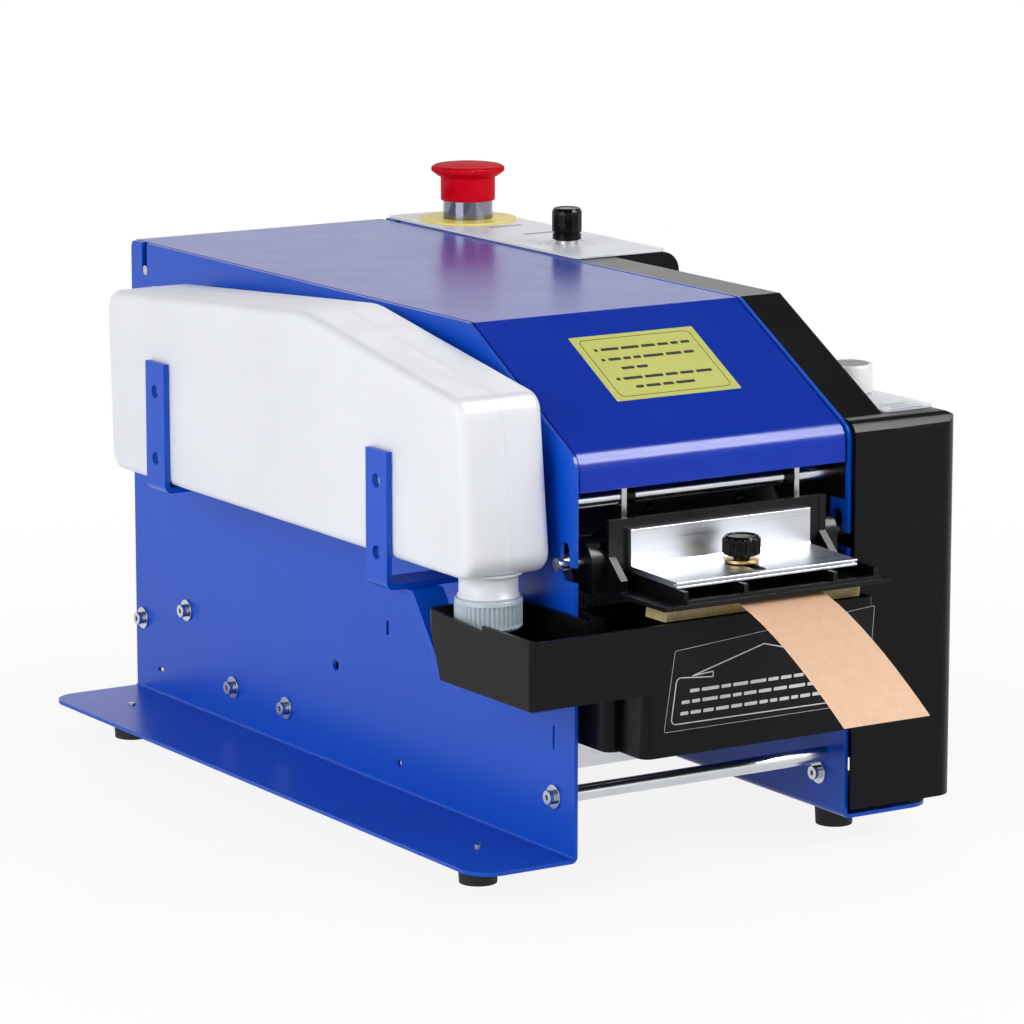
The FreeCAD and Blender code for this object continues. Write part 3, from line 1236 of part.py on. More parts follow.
def belt_solid(span, radius):
    ends = [round_bar("X", span, (back, FEED_UP), 2 * radius)
            for back in (s.feed_back, s.motor_back)]
    middle = block(span, (s.feed_back, s.motor_back), (FEED_UP - radius, FEED_UP + radius))
    return fuse(*ends, middle)


def electronics():
    seat = RIGHT_OUTER + s.board_stand
    board_rear = s.plate_length - s.board_inset
    area_back = (board_rear - s.board_long, board_rear)
    area_up = (s.board_up, s.board_up + s.board_tall)
    pieces = [block((seat, seat + s.board_gauge), area_back, area_up)]
    inset = s.board_stand
    for back in (area_back[0] + inset, area_back[1] - inset):
        for up in (area_up[0] + inset, area_up[1] - inset):
            pieces.append(round_bar("X", (RIGHT_OUTER, seat), (back, up), s.board_stand))
    on = seat + s.board_gauge
    tall = s.board_stand * 2
    coil, can, chip = s.board_coil, s.board_can, s.board_chip
    pieces.append(block((on, on + tall), (area_back[0] + coil, area_back[0] + 2 * coil),
                        (area_up[0] + coil / 2, area_up[0] + 3 * coil / 2)))
    for step in range(3):
        spot = (area_back[1] - coil - step * 3 * can / 2, area_up[0] + coil)
        pieces.append(round_bar("X", (on, on + tall), spot, can))
    pieces.append(block((on, on + s.board_stand / 2), (area_back[0] + coil, area_back[0] + coil + chip),
                        (area_up[1] - coil / 2 - chip, area_up[1] - coil / 2)))
    node("control_board", fuse(*pieces))

    middle = RIGHT_OUTER + s.inlet_left
    half_x, half_z = s.inlet_width / 2, s.inlet_height / 2
    face = s.plate_length
    body = block((middle - half_x, middle + half_x), (face - s.inlet_deep, face + s.housing_wall),
                 (s.inlet_up - half_z, s.inlet_up + half_z))
    rim = block((middle - half_x - s.inlet_rim, middle + half_x + s.inlet_rim),
                (face, face + s.housing_wall),
                (s.inlet_up - half_z - s.inlet_rim / 2, s.inlet_up + half_z + s.inlet_rim / 2))
    wall = 2.0
    recess = prism("Y", [
        (middle - half_x + wall, s.inlet_up - half_z + wall),
        (middle + half_x - wall, s.inlet_up - half_z + wall),
        (middle + half_x - wall, s.inlet_up + half_z - 2.5 * wall),
        (middle + half_x - 3 * wall, s.inlet_up + half_z - wall),
        (middle - half_x + 3 * wall, s.inlet_up + half_z - wall),
        (middle - half_x + wall, s.inlet_up + half_z - 2.5 * wall)],
        (face - s.inlet_deep + 2 * wall, face + s.housing_wall + PAST))
    pins = [block((middle + shift - 1.0, middle + shift + 1.0),
                  (face - s.inlet_deep + wall, face - 2 * wall),
                  (s.inlet_up + lift - 2.0, s.inlet_up + lift + 2.0))
            for shift, lift in ((-7.0, -2.0), (0.0, 2.0), (7.0, -2.0))]
    node("power_inlet", fuse(cut(fuse(body, rim), recess), *pins))


# ---------------------------------------------------------------- housing and controls

HOUSING_TOP = PANEL_TOP - s.panel_gauge


SLOPE_RATE = (s.plate_height - s.nose_height) / s.slope_run


def housing_solid(inset, left, low):
    """The housing's outer shape, or with an inset the space inside it."""
    front = -s.housing_front + inset
    rear = s.plate_length - inset
    right = HOUSING_RIGHT - inset
    step = rounded_step((left, right), (front, rear), (low, STEP_TOP - inset), inset)
    fin_right = RIGHT_OUTER + s.fin_width - inset
    fin_top = (s.plate_height if inset == 0.0 else HOUSING_TOP - inset) + 0.0
    drop = root(1.0 + SLOPE_RATE * SLOPE_RATE) * inset
    knee = (fin_top - s.nose_height + drop) / SLOPE_RATE
    brow = s.nose_height + front * SLOPE_RATE - drop
    fin = prism("X", [(front, low), (s.tower_front + inset, low),
                      (s.tower_front + inset, fin_top), (knee, fin_top), (front, brow)],
                (left, fin_right), end_round=s.fin_bend - inset, ends=(fin_right,),
                between=(2, 3, 4))
    tower = prism("Y", [(left, low), (right, low), (right, HOUSING_TOP - inset),
                        (left, HOUSING_TOP - inset)],
                  (s.tower_front + inset, rear), rounds=[(s.housing_bend - inset, [2])])
    return fuse(step, fin, tower)


def rounded_step(x, y, z, inset):
    """The lower step: a box whose front and outer edges are rounded."""
    along = prism("Y", rectangle(x, z), y, rounds=[(s.housing_bend - inset, [2])])
    across = prism("X", rectangle(y, z), x, rounds=[(s.housing_brow - inset, [3])])
    plan = prism("Z", rectangle(x, y), z, rounds=[(s.housing_corner - inset, [1])])
    return common(common(along, across), plan)


def housing():
    low = s.plate_gauge + s.housing_lift
    shell = cut(housing_solid(0.0, RIGHT_OUTER, low),
                housing_solid(s.housing_wall, RIGHT_OUTER - PAST, low - PAST))
    tools = [
        round_bar("Z", (HOUSING_TOP - s.housing_bend, HOUSING_TOP + PAST), estop_centre(),
                  s.bezel_body_across + 2 * s.fit_gap),
        round_bar("Z", (HOUSING_TOP - s.housing_bend, HOUSING_TOP + PAST),
                  (RIGHT_OUTER + s.speed_left, s.speed_back),
                  s.control_shaft_across + 2 * s.fit_gap),
        round_bar("Z", (STEP_TOP - s.housing_bend, STEP_TOP + PAST),
                  (RIGHT_OUTER + s.dial_left, s.dial_back),
                  s.control_shaft_across + 2 * s.fit_gap),
        block((RIGHT_OUTER + s.inlet_left - s.inlet_width / 2,
               RIGHT_OUTER + s.inlet_left + s.inlet_width / 2),
              (s.plate_length - s.housing_wall - PAST, s.plate_length + PAST),
              (s.inlet_up - s.inlet_height / 2, s.inlet_up + s.inlet_height / 2)),
        round_bar("X", (RIGHT_OUTER - PAST, RIGHT_OUTER + s.pivot_pin_proud + s.run_gap),
                  (PIVOT_BACK, s.pivot_up), s.pivot_pin_across + 2 * s.run_gap),
    ]
    node("housing_cover", cut(shell, *tools))


def estop_centre():
    return (RIGHT_OUTER + s.estop_left, s.plate_length - s.estop_inset)


def panel(x, y, top, hole, hole_across):
    plate = prism("Z", rectangle(x, y), (top - s.panel_gauge, top),
                  rounds=[(s.panel_corner, [0, 1, 2, 3])])
    tools = [round_bar("Z", (top - s.panel_gauge - PAST, top + PAST), spot, across)
             for spot, across in zip(hole, hole_across)]
    return cut(plate, *tools)


def control_panels():
    gap = 2 * s.fit_gap
    x = (RIGHT_OUTER + s.run_gap, HOUSING_RIGHT - s.panel_inset)
    node("top_control_panel", panel(
        x, (s.tower_front + s.run_gap, s.plate_length - s.run_gap), PANEL_TOP,
        [estop_centre(), (RIGHT_OUTER + s.speed_left, s.speed_back)],
        [s.bezel_body_across + gap, s.control_shaft_across + gap]))
    left = RIGHT_OUTER + s.fin_width + s.run_gap
    front = -s.housing_front + s.step_panel_front + s.panel_corner
    node("lower_control_panel", panel(
        (left, HOUSING_RIGHT - s.panel_inset - s.run_gap),
        (front, front + s.step_panel_long), STEP_TOP + s.panel_gauge,
        [(RIGHT_OUTER + s.dial_left, s.dial_back)], [s.control_shaft_across + gap]))


def emergency_stop():
    x, y = estop_centre()
    base = (x, y, PANEL_TOP)
    body = s.bezel_body_across / 2
    node("estop_ring", turned("Z", base, [
        (body + s.fit_gap, 0.0), (s.estop_ring_across / 2, 0.0),
        (s.estop_ring_across / 2, s.estop_ring_gauge), (body + s.fit_gap, s.estop_ring_gauge)]))
    bezel, stem = s.bezel_across / 2, s.stem_across / 2
    stem_low = -s.bezel_body_length + s.press_travel
    node("estop_bezel", turned("Z", base, [
        (0.0, -s.bezel_body_length - s.press_travel), (body, -s.bezel_body_length - s.press_travel),
        (body, s.estop_ring_gauge), (bezel, s.estop_ring_gauge),
        (bezel, s.bezel_height), (stem + s.fit_gap, s.bezel_height),
        (stem + s.fit_gap, -s.bezel_body_length), (0.0, -s.bezel_body_length)]))
    stem_top = s.mushroom_low + s.run_gap
    pilot = stem - s.collar_gauge
    node("estop_stem", turned("Z", base, [
        (0.0, stem_low + s.run_gap), (stem, stem_low + s.run_gap),
        (stem, s.bezel_height + s.press_travel + s.run_gap),
        (pilot, s.bezel_height + s.press_travel + s.run_gap), (pilot, stem_top),
        (0.0, stem_top)]))
    skirt, rim = s.skirt_across / 2, s.mushroom_across / 2
    inner = bezel + s.run_gap
    seat = s.bezel_height + s.press_travel + 2 * s.run_gap
    node("estop_head", turned("Z", base, [
        (inner, s.skirt_low), (skirt, s.skirt_low), (skirt, s.mushroom_low),
        (rim, s.mushroom_rim - s.collar_gauge), (rim, s.mushroom_rim),
        (rim * 0.8, s.mushroom_top - s.run_gap), (rim * 0.45, s.mushroom_top),
        (0.0, s.mushroom_top), (0.0, stem_top + s.fit_gap),
        (pilot + s.fit_gap, stem_top + s.fit_gap), (pilot + s.fit_gap, seat), (inner, seat)]))


def knobs():
    shaft = s.control_shaft_across / 2
    collar = s.speed_collar_across / 2
    knob = s.speed_across / 2
    base = (RIGHT_OUTER + s.speed_left, s.speed_back, PANEL_TOP)
    node("speed_knob_collar", turned("Z", base, [
        (shaft + s.fit_gap, 0.0), (collar, 0.0), (collar, s.speed_collar_height),
        (shaft + s.fit_gap, s.speed_collar_height)]))
    low = s.speed_collar_height + s.run_gap
    top = low + s.speed_height
    soft = s.panel_gauge / 2
    node("speed_knob", turned("Z", base, [
        (0.0, -s.control_shaft_length), (shaft, -s.control_shaft_length), (shaft, low),
        (knob, low), (knob, top - soft), (knob - soft, top), (0.0, top)]))
    dial = s.dial_across / 2
    top = s.run_gap + s.dial_height
    node("length_dial", turned(
        "Z", (RIGHT_OUTER + s.dial_left, s.dial_back, STEP_TOP + s.panel_gauge), [
            (0.0, -s.control_shaft_length), (shaft, -s.control_shaft_length),
            (shaft, s.run_gap), (dial - soft, s.run_gap), (dial, s.run_gap + soft),
            (dial, top - soft), (dial - soft, top), (0.0, top)]))


# ---------------------------------------------------------------- cover and cross plate

COVER_LEFT = LEFT_INNER + s.cover_side_gap
COVER_RIGHT = RIGHT_INNER - s.cover_side_gap


def top_cover():
    gauge = s.cover_gauge
    top, face = s.plate_height, s.cover_face
    run = s.slope_run - face
    rise = s.plate_height - s.nose_height
    shape = [
        (s.plate_length, top), (s.slope_run, top), (face, top - rise), (face, s.cover_lip_low),
        (face + gauge, s.cover_lip_low),
        (face + gauge, top - rise - bend_shift(gauge, rise, run)),
        (s.slope_run + bend_shift(gauge, run, rise), top - gauge), (s.plate_length, top - gauge)]
    sheet_metal = prism("X", shape, (COVER_LEFT, COVER_RIGHT),
                        rounds=[(s.cover_bend, [2]), (s.cover_bend - gauge, [5]),
                                (s.bend_radius + gauge, [1])])
    pieces = [sheet_metal]
    ears = []
    ear_half = s.cover_ear / 2
    for start, away in ((COVER_LEFT, 1.0), (COVER_RIGHT, -1.0)):
        span = sorted((start, start + away * gauge))
        pieces.append(block(span, (HINGE_BACK - ear_half, HINGE_BACK + ear_half),
                            (HINGE_UP - ear_half / 2, top - gauge / 2)))
        pieces.append(block(span, (s.slope_run + s.cover_skirt, HINGE_BACK),
                            (top - s.cover_skirt, top - gauge / 2)))
        ears.append(round_bar("X", (span[0] - PAST, span[1] + PAST), (HINGE_BACK, HINGE_UP),
                              s.hinge_pin_across + 2 * s.fit_gap))
    node("top_cover", cut(fuse(*pieces), *ears))
    head = s.hinge_pin_across + 2 * gauge
    pins = []
    for outer, inner, away in ((0.0, COVER_LEFT, 1.0), (RIGHT_OUTER, COVER_RIGHT, -1.0)):
        end = inner + away * (gauge + s.run_gap)
        shank = round_bar("X", sorted((outer + away * s.run_gap, end)), (HINGE_BACK, HINGE_UP),
                          s.hinge_pin_across)
        cap = round_bar("X", sorted((end, end + away * gauge)), (HINGE_BACK, HINGE_UP), head)
        pins.append(fuse(shank, cap))
    node("cover_hinge_pins", group(*pins))


def cross_plate():
    node("cross_plate", block((LEFT_INNER, RIGHT_INNER),
                              (s.cross_back, s.cross_back + s.cross_gauge),
                              (s.cross_low, s.cross_low + s.cross_tall)))


def build():
    side_plates()
    rods()
    feet()
    cap_low = bottle()
    brackets()
    tank_strap()
    water_tank(cap_low)
    brush()
    press_frame()
    weight_plate()
    thumbscrew()
    guide_rod()
    guard_plate()
    cutter()
    tape_roll()
    tape()
    feed()
    pressure()
    drive()
    electronics()
    housing()
    control_panels()
    emergency_stop()
    knobs()
    top_cover()
    cross_plate()
    doc.recompute()


def check():
    """Stop before writing anything if any object failed or any piece is empty or broken."""
    for item in doc.Objects:
        if "Invalid" in item.State or "Error" in item.State:
            raise RuntimeError("%s (%s) failed: %s" % (item.Name, item.Label, item.State))
    for item in NODES:
        if item.Shape.isNull() or not item.Shape.isValid() or not item.Shape.Solids:
            raise RuntimeError("%s has no valid solid" % item.Label)


build()
check()
os.makedirs("parts", exist_ok=True)
for item in NODES:
    item.Shape.exportStep("parts/%s.step" % item.Label)
print("%d nodes" % len(NODES))
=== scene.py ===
"""Gummed tape dispenser: finishes, moulded pieces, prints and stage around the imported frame."""

import json
import math

import bmesh
import bpy
import numpy as np
from bpy.props import FloatProperty, FloatVectorProperty, IntProperty, PointerProperty
from mathutils import Matrix, Vector

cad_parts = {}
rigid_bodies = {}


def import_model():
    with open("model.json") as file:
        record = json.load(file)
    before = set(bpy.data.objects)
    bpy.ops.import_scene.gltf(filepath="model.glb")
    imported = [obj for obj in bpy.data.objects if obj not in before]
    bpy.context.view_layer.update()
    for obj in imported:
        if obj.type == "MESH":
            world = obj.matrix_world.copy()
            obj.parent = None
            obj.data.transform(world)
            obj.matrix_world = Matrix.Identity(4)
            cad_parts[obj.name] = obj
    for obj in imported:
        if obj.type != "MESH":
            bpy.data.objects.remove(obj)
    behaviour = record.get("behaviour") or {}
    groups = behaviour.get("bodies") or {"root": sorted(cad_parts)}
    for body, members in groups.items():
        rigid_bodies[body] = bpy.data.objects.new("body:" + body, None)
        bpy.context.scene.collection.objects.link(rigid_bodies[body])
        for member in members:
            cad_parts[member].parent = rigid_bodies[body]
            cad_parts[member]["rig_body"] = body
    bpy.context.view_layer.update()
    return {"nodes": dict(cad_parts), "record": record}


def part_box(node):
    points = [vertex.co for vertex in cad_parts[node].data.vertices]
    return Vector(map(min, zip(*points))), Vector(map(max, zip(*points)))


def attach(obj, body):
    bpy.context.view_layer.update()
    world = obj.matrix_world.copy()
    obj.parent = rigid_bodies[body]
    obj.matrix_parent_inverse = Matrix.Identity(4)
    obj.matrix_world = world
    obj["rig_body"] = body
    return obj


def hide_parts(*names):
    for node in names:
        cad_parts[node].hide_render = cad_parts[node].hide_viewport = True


bl_info = {
    "name": "Gummed Tape Dispenser",
    "version": (1, 0, 0),
    "blender": (4, 5, 0),
    "location": "View3D > Sidebar > Dispenser",
    "description": "Builds the dispenser's finishes, moulded pieces, prints and stage",
    "category": "Object",
}

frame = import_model()

MM = 0.001
MERGE = 1e-6
FULL_TURN = 2 * math.pi
X_WAY, Y_WAY, Z_WAY = (1.0, 0.0, 0.0), (0.0, 1.0, 0.0), (0.0, 0.0, 1.0)
SLOT_OF = {part["node"]: part["material_slot"] for part in frame["record"]["subparts"]}

# Places that the frame gives.
PLATE_GAUGE = 2.0
PLATE_LOW, PLATE_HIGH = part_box("left_side_plate")
PLATE_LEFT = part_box("front_tie_rod")[0].x - PLATE_GAUGE * MM
PLATE_HEIGHT = (PLATE_HIGH.z - PLATE_LOW.z) / MM
TANK_LOW, TANK_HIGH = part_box("water_tank")


def spot(x, y, z):
    """A point given in millimetres from the left plate's outer face, front edge and underside."""
    return Vector((PLATE_LEFT + x * MM, PLATE_LOW.y + y * MM, PLATE_LOW.z + z * MM))


def paint(red, green, blue):
    """A colour written as 0 to 255 per channel, as linear light."""
    shares = np.array((red, green, blue)) / 255.0
    linear = np.where(shares <= 0.04045, shares / 12.92, ((shares + 0.055) / 1.055) ** 2.4)
    return tuple(float(share) for share in linear)


# ---------------------------------------------------------------- settings

def colour_setting(name, description, value):
    """A colour whose default is written as 0 to 255 per channel."""
    return FloatVectorProperty(name=name, description=description, subtype="COLOR",
                               size=3, min=0.0, max=1.0, default=paint(*value))


def length_setting(name, description, millimetres):
    return FloatProperty(name=name, description=description, unit="LENGTH", subtype="DISTANCE",
                         min=0.0, default=millimetres * MM)


def count_setting(name, description, count):
    return IntProperty(name=name, description=description, default=count, min=3)


def power_setting(name, description, watts):
    return FloatProperty(name=name, description=description, subtype="POWER", default=watts,
                         min=0.0)


class DispenserColours(bpy.types.PropertyGroup):
    """Colours of the main finishes."""

    plate_blue: colour_setting("Plate blue", "Paint of the side plates and brackets", (0, 78, 198))
    cover_blue: colour_setting("Cover blue", "Paint of the top cover", (0, 50, 176))
    housing_black: colour_setting("Housing black", "Paint of the control housing", (13, 12, 15))
    tank_black: colour_setting("Tank black", "Plastic of the water tank", (12, 12, 15))
    bottle_white: colour_setting("Bottle white", "Plastic of the water bottle", (233, 235, 241))
    cap_grey: colour_setting("Cap grey", "Plastic of the bottle's cap", (186, 200, 210))
    tape_brown: colour_setting("Tape brown", "Gummed kraft paper", (246, 199, 160))
    label_yellow: colour_setting("Label yellow", "Foil of the label on the slope", (210, 213, 108))
    button_red: colour_setting("Button red", "Plastic of the emergency stop", (214, 6, 32))
    film_grey: colour_setting("Panel film", "Film on the two control panels", (238, 241, 248))


class DispenserSizes(bpy.types.PropertyGroup):
    """Sizes of the details."""

    edge: length_setting("Edge rounding", "Rounding of sheared and moulded edges", 0.35)
    bottle_edge: length_setting("Bottle edge", "Rounding of the bottle's long edges", 5.0)
    bottle_corner: length_setting("Bottle corner", "Rounding of the bottle's corners", 11.0)
    bottle_seam: length_setting("Bottle seam", "Height of the bottle's parting seam", 0.22)
    label_width: length_setting("Label width", "Width of the label on the slope", 74.1)
    label_length: length_setting("Label length", "Length of the label down the slope", 51.4)
    cap_ribs: count_setting("Cap ribs", "Ribs round the bottle's cap", 44)
    knob_flutes: count_setting("Knob flutes", "Flutes round the thumbscrew", 15)
    knob_ridges: count_setting("Knob ridges", "Ridges round the speed knob", 14)
    button_teeth: count_setting("Button teeth", "Teeth round the emergency stop", 72)


class DispenserStage(bpy.types.PropertyGroup):
    """Light, floor and camera."""

    floor_colour: colour_setting("Floor", "Colour of the floor", (250, 250, 250))
    key_power: power_setting("Key light", "Power of the large left light", 28.0)
    rear_power: power_setting("Rear light", "Power of the light behind the right", 8.0)
    strip_power: power_setting("Strip light", "Power of the narrow front light", 17.0)
    fill_power: power_setting("Fill light", "Power of the front light", 5.0)
    glint_power: power_setting("Glint", "Power of the lamp seen in gloss alone", 95.0)
    ambient: FloatProperty(name="Ambient", description="Strength of the light from all round",
                           default=0.30, min=0.0)
    lens: FloatProperty(name="Lens", description="Focal length for a 36 mm sensor",
                        subtype="DISTANCE_CAMERA", default=175.85, min=1.0)


# ---------------------------------------------------------------- materials

# Sockets of a colour Mix node: its share, its two colours, and its output.
MIX_SHARE, MIX_DARK, MIX_LIGHT, MIX_OUT = 0, 6, 7, 2


class Nodes:
    """A node tree, with a short way to add a node and fill its sockets."""

    def __init__(self, tree):
        self.tree = tree

    def node(self, kind, sockets=(), **settings):
        """A new node. A socket is linked where it is given an output, and set where it isn't."""
        made = self.tree.nodes.new("ShaderNode" + kind)
        for key, value in settings.items():
            setattr(made, key, value)
        for socket, value in dict(sockets).items():
            if isinstance(value, bpy.types.NodeSocket):
                self.tree.links.new(value, made.inputs[socket])
            else:
                made.inputs[socket].default_value = value
        return made

    def spread(self, value, low, high, start=0.3, end=0.7, curve="LINEAR"):
        """A value from start to end, mapped from low to high."""
        return self.node("MapRange", {"Value": value, "From Min": start, "From Max": end,
                                      "To Min": low, "To Max": high},
                         interpolation_type=curve).outputs["Result"]


class Recipe(Nodes):
    """One material: a Principled shader, and short ways to put patterns in front of it."""

    def __init__(self, name, colour, roughness, **sockets):
        self.material = bpy.data.materials.new(name)
        self.material.use_nodes = True
        super().__init__(self.material.node_tree)
        self.shader = self.tree.nodes["Principled BSDF"]
        self.colour = tuple(colour)
        sockets.update(Base_Color=(*colour, 1.0), Roughness=roughness)
        for socket, value in sockets.items():
            self.shader.inputs[socket.replace("_", " ")].default_value = value
        self.place = self.node("TexCoord").outputs["Object"]

    def into(self, socket, value):
        """Link an output into one of the shader's sockets."""
        self.tree.links.new(value, self.shader.inputs[socket])
        return self

    def stretched(self, scale, centre=(0.0, 0.0, 0.0)):
        """Object coordinates about a centre, times a scale along each axis."""
        shift = tuple(-middle * share for middle, share in zip(centre, scale))
        return self.node("Mapping", {"Vector": self.place, "Scale": scale,
                                     "Location": shift}).outputs["Vector"]

    def noise(self, scale, detail=2.0, stretch=None, roughness=0.5):
        """Noise of a scale per metre, drawn out along the axes where a stretch is given."""
        place = self.stretched(stretch) if stretch else self.place
        return self.node("TexNoise", {"Vector": place, "Scale": scale, "Detail": detail,
                                      "Roughness": roughness}).outputs["Fac"]

    def rings(self, axis, centre, scale, distortion):
        """Rings about an axis through a centre, scale times per metre of radius."""
        place = self.stretched((1.0, 1.0, 1.0), centre)
        return self.node("TexWave", {"Vector": place, "Scale": scale, "Distortion": distortion},
                         wave_type="RINGS", rings_direction=axis,
                         wave_profile="SIN").outputs["Fac"]

    def tinted(self, value, dark, light):
        """The base colour times dark where the value is low, and times light where it is high."""
        shades = [(*(min(1.0, channel * share) for channel in self.colour), 1.0)
                  for share in (dark, light)]
        mix = self.node("Mix", {MIX_SHARE: self.spread(value, 0.0, 1.0), MIX_DARK: shades[0],
                                MIX_LIGHT: shades[1]}, data_type="RGBA")
        return self.into("Base Color", mix.outputs[MIX_OUT])

    def rough(self, value, low, high):
        """Roughness from low to high as the value rises."""
        return self.into("Roughness", self.spread(value, low, high))

    def bumpy(self, value, depth, strength):
        """Relief of a depth in metres, where the value is the height."""
        bump = self.node("Bump", {"Height": value, "Distance": depth, "Strength": strength})
        return self.into("Normal", bump.outputs["Normal"])


# Depth of relief, in metres, that breaks a gloss without showing as a shape.
FINE = 0.00001


def grained(name, colour, roughness, tint, sheen=None, relief=None, **sockets):
    """A finish of up to three noises, each written as its scale, its detail and two amounts.

    tint: how dark and how light the colour gets. sheen: how far the roughness falls and rises.
    relief: its depth and strength.
    """
    recipe = Recipe(name, colour, roughness, **sockets)
    recipe.tinted(recipe.noise(*tint[:2]), *tint[2:])
    if sheen:
        recipe.rough(recipe.noise(*sheen[:2]), roughness - sheen[2], roughness + sheen[3])
    if relief:
        recipe.bumpy(recipe.noise(*relief[:2]), *relief[2:])
    return recipe.material


def streaked(name, colour, roughness, stretch, detail, grain, tint, relief, **sockets):
    """A recipe with one noise, drawn out along the axes, for its tint and its relief.

    tint: how dark and how light. relief: its depth and strength. The noise comes with it.
    """
    recipe = Recipe(name, colour, roughness, **sockets)
    streaks = recipe.noise(1.0, detail, stretch, grain)
    recipe.tinted(streaks, *tint)
    return recipe.bumpy(streaks, *relief), streaks


def powder_coat(name, colour, roughness, gloss):
    """Powder paint: an orange peel of about 1.5 mm, and a faint change of gloss and depth."""
    return grained(name, colour, roughness, (7.0, 2.0, 0.975, 1.025), (35.0, 2.0, 0.015, 0.02),
                   (700.0, 1.0, FINE, 0.2), Specular_IOR_Level=gloss)


def moulded(name, colour, roughness, grain=1800.0, depth=0.00003, gloss=0.25):
    """Moulded plastic with a fine spark-eroded grain."""
    return grained(name, colour, roughness, (25.0, 3.0, 0.92, 1.08), (140.0, 3.0, 0.03, 0.05),
                   (grain, 2.0, depth, 0.5), Specular_IOR_Level=gloss)


def polished_plastic(name, colour, roughness, gloss):
    """Polished plastic: no grain, only a gloss that changes as handling leaves it."""
    return grained(name, colour, roughness, (40.0, 2.0, 0.95, 1.05), (300.0, 3.0, 0.03, 0.06),
                   Specular_IOR_Level=gloss)


def lacquered(name, colour, roughness=0.5, coat=0.14):
    """Saturated moulded plastic: a matt body under a thin clear gloss."""
    return grained(name, colour, roughness, (25.0, 3.0, 0.94, 1.06),
                   relief=(1500.0, 2.0, FINE, 0.4), Specular_IOR_Level=0.0, Coat_Weight=coat,
                   Coat_Roughness=0.14)


def turned_metal(name, colour, roughness):
    """Drawn or turned metal: fine lines along X and a faint waviness."""
    recipe = Recipe(name, colour, roughness, Metallic=1.0)
    lines = recipe.noise(1.0, 3.0, stretch=(60.0, 2600.0, 2600.0))
    recipe.tinted(recipe.noise(35.0, 3.0), 0.92, 1.04)
    recipe.rough(lines, roughness - 0.05, roughness + 0.08)
    return recipe.bumpy(lines, FINE, 0.4).material


def brushed_aluminium(name, colour):
    """Brushed along X: long streaks in gloss, shade and height."""
    recipe, streaks = streaked(name, colour, 0.30, (18.0, 1500.0, 1500.0), 6.0, 0.7,
                               (0.88, 1.06), (2 * FINE, 0.5), Metallic=1.0)
    return recipe.rough(streaks, 0.26, 0.42).material


def zinc_plate(name, colour, roughness=0.28):
    """Plated metal with a fine even grain."""
    return grained(name, colour, roughness, (120.0, 3.0, 0.93, 1.04), (300.0, 2.0, 0.03, 0.06),
                   (1500.0, 2.0, FINE, 0.5), Metallic=1.0)


def milky_plastic(name, colour):
    """Blown polythene: light goes a little way in, and the wall is faintly uneven."""
    return grained(name, colour, 0.36, (14.0, 3.0, 0.97, 1.02), (70.0, 3.0, 0.04, 0.08),
                   (55.0, 2.0, 0.0002, 0.25), Subsurface_Weight=0.25, Subsurface_Scale=0.01,
                   Subsurface_Radius=(1.0, 0.9, 0.8))


def kraft_paper(name, colour):
    """Kraft paper: cloudy fibres, fine flecks and faint lines along the web."""
    recipe = Recipe(name, colour, 0.62)
    clouds = recipe.noise(130.0, 8.0, roughness=0.7)
    fibres = recipe.noise(1.0, 5.0, (900.0, 220.0, 220.0), 0.7)
    flecks = recipe.spread(fibres, 0.0, 0.45, 0.0, 1.0)
    both = recipe.node("Math", {0: clouds, 1: 0.55, 2: flecks}, operation="MULTIPLY_ADD")
    recipe.tinted(both.outputs[0], 0.86, 1.06)
    return recipe.bumpy(fibres, 0.00006, 0.5).material


def wound_paper(name, colour):
    """The roll: its sides show the windings as fine rings about the roll's axis."""
    low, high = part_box("tape_roll")
    recipe = Recipe(name, colour, 0.65)
    rings = recipe.rings("X", (low + high) / 2, 330.0, 0.4)
    recipe.tinted(rings, 0.80, 1.04)
    return recipe.bumpy(rings, 0.00008, 0.6).material


def bristles(name, colour):
    """Bristles: fine upright strands, with random darker upright streaks in the colour as painted
    shade between the tufts.
    """
    return streaked(name, colour, 0.7, (2200.0, 2200.0, 40.0), 4.0, 0.75, (0.55, 1.15),
                    (0.0004, 0.8))[0].material


def planed_wood(name, colour):
    """Planed wood or board: a grain that runs along X."""
    return streaked(name, colour, 0.55, (25.0, 420.0, 420.0), 6.0, 0.65, (0.7, 1.12),
                    (0.0001, 0.5))[0].material


def soft_rubber(name, colour):
    """Matt rubber with a rough skin."""
    return grained(name, colour, 0.75, (80.0, 4.0, 0.8, 1.25),
                   relief=(1400.0, 3.0, 0.00006, 0.6))


def pale_film(name, colour, roughness=0.34, gloss=0.3):
    """Printed film: a fine matt texture over an even colour."""
    return grained(name, colour, roughness, (18.0, 2.0, 0.97, 1.02), (500.0, 2.0, 0.03, 0.06),
                   (2400.0, 1.0, FINE, 0.4), Specular_IOR_Level=gloss)


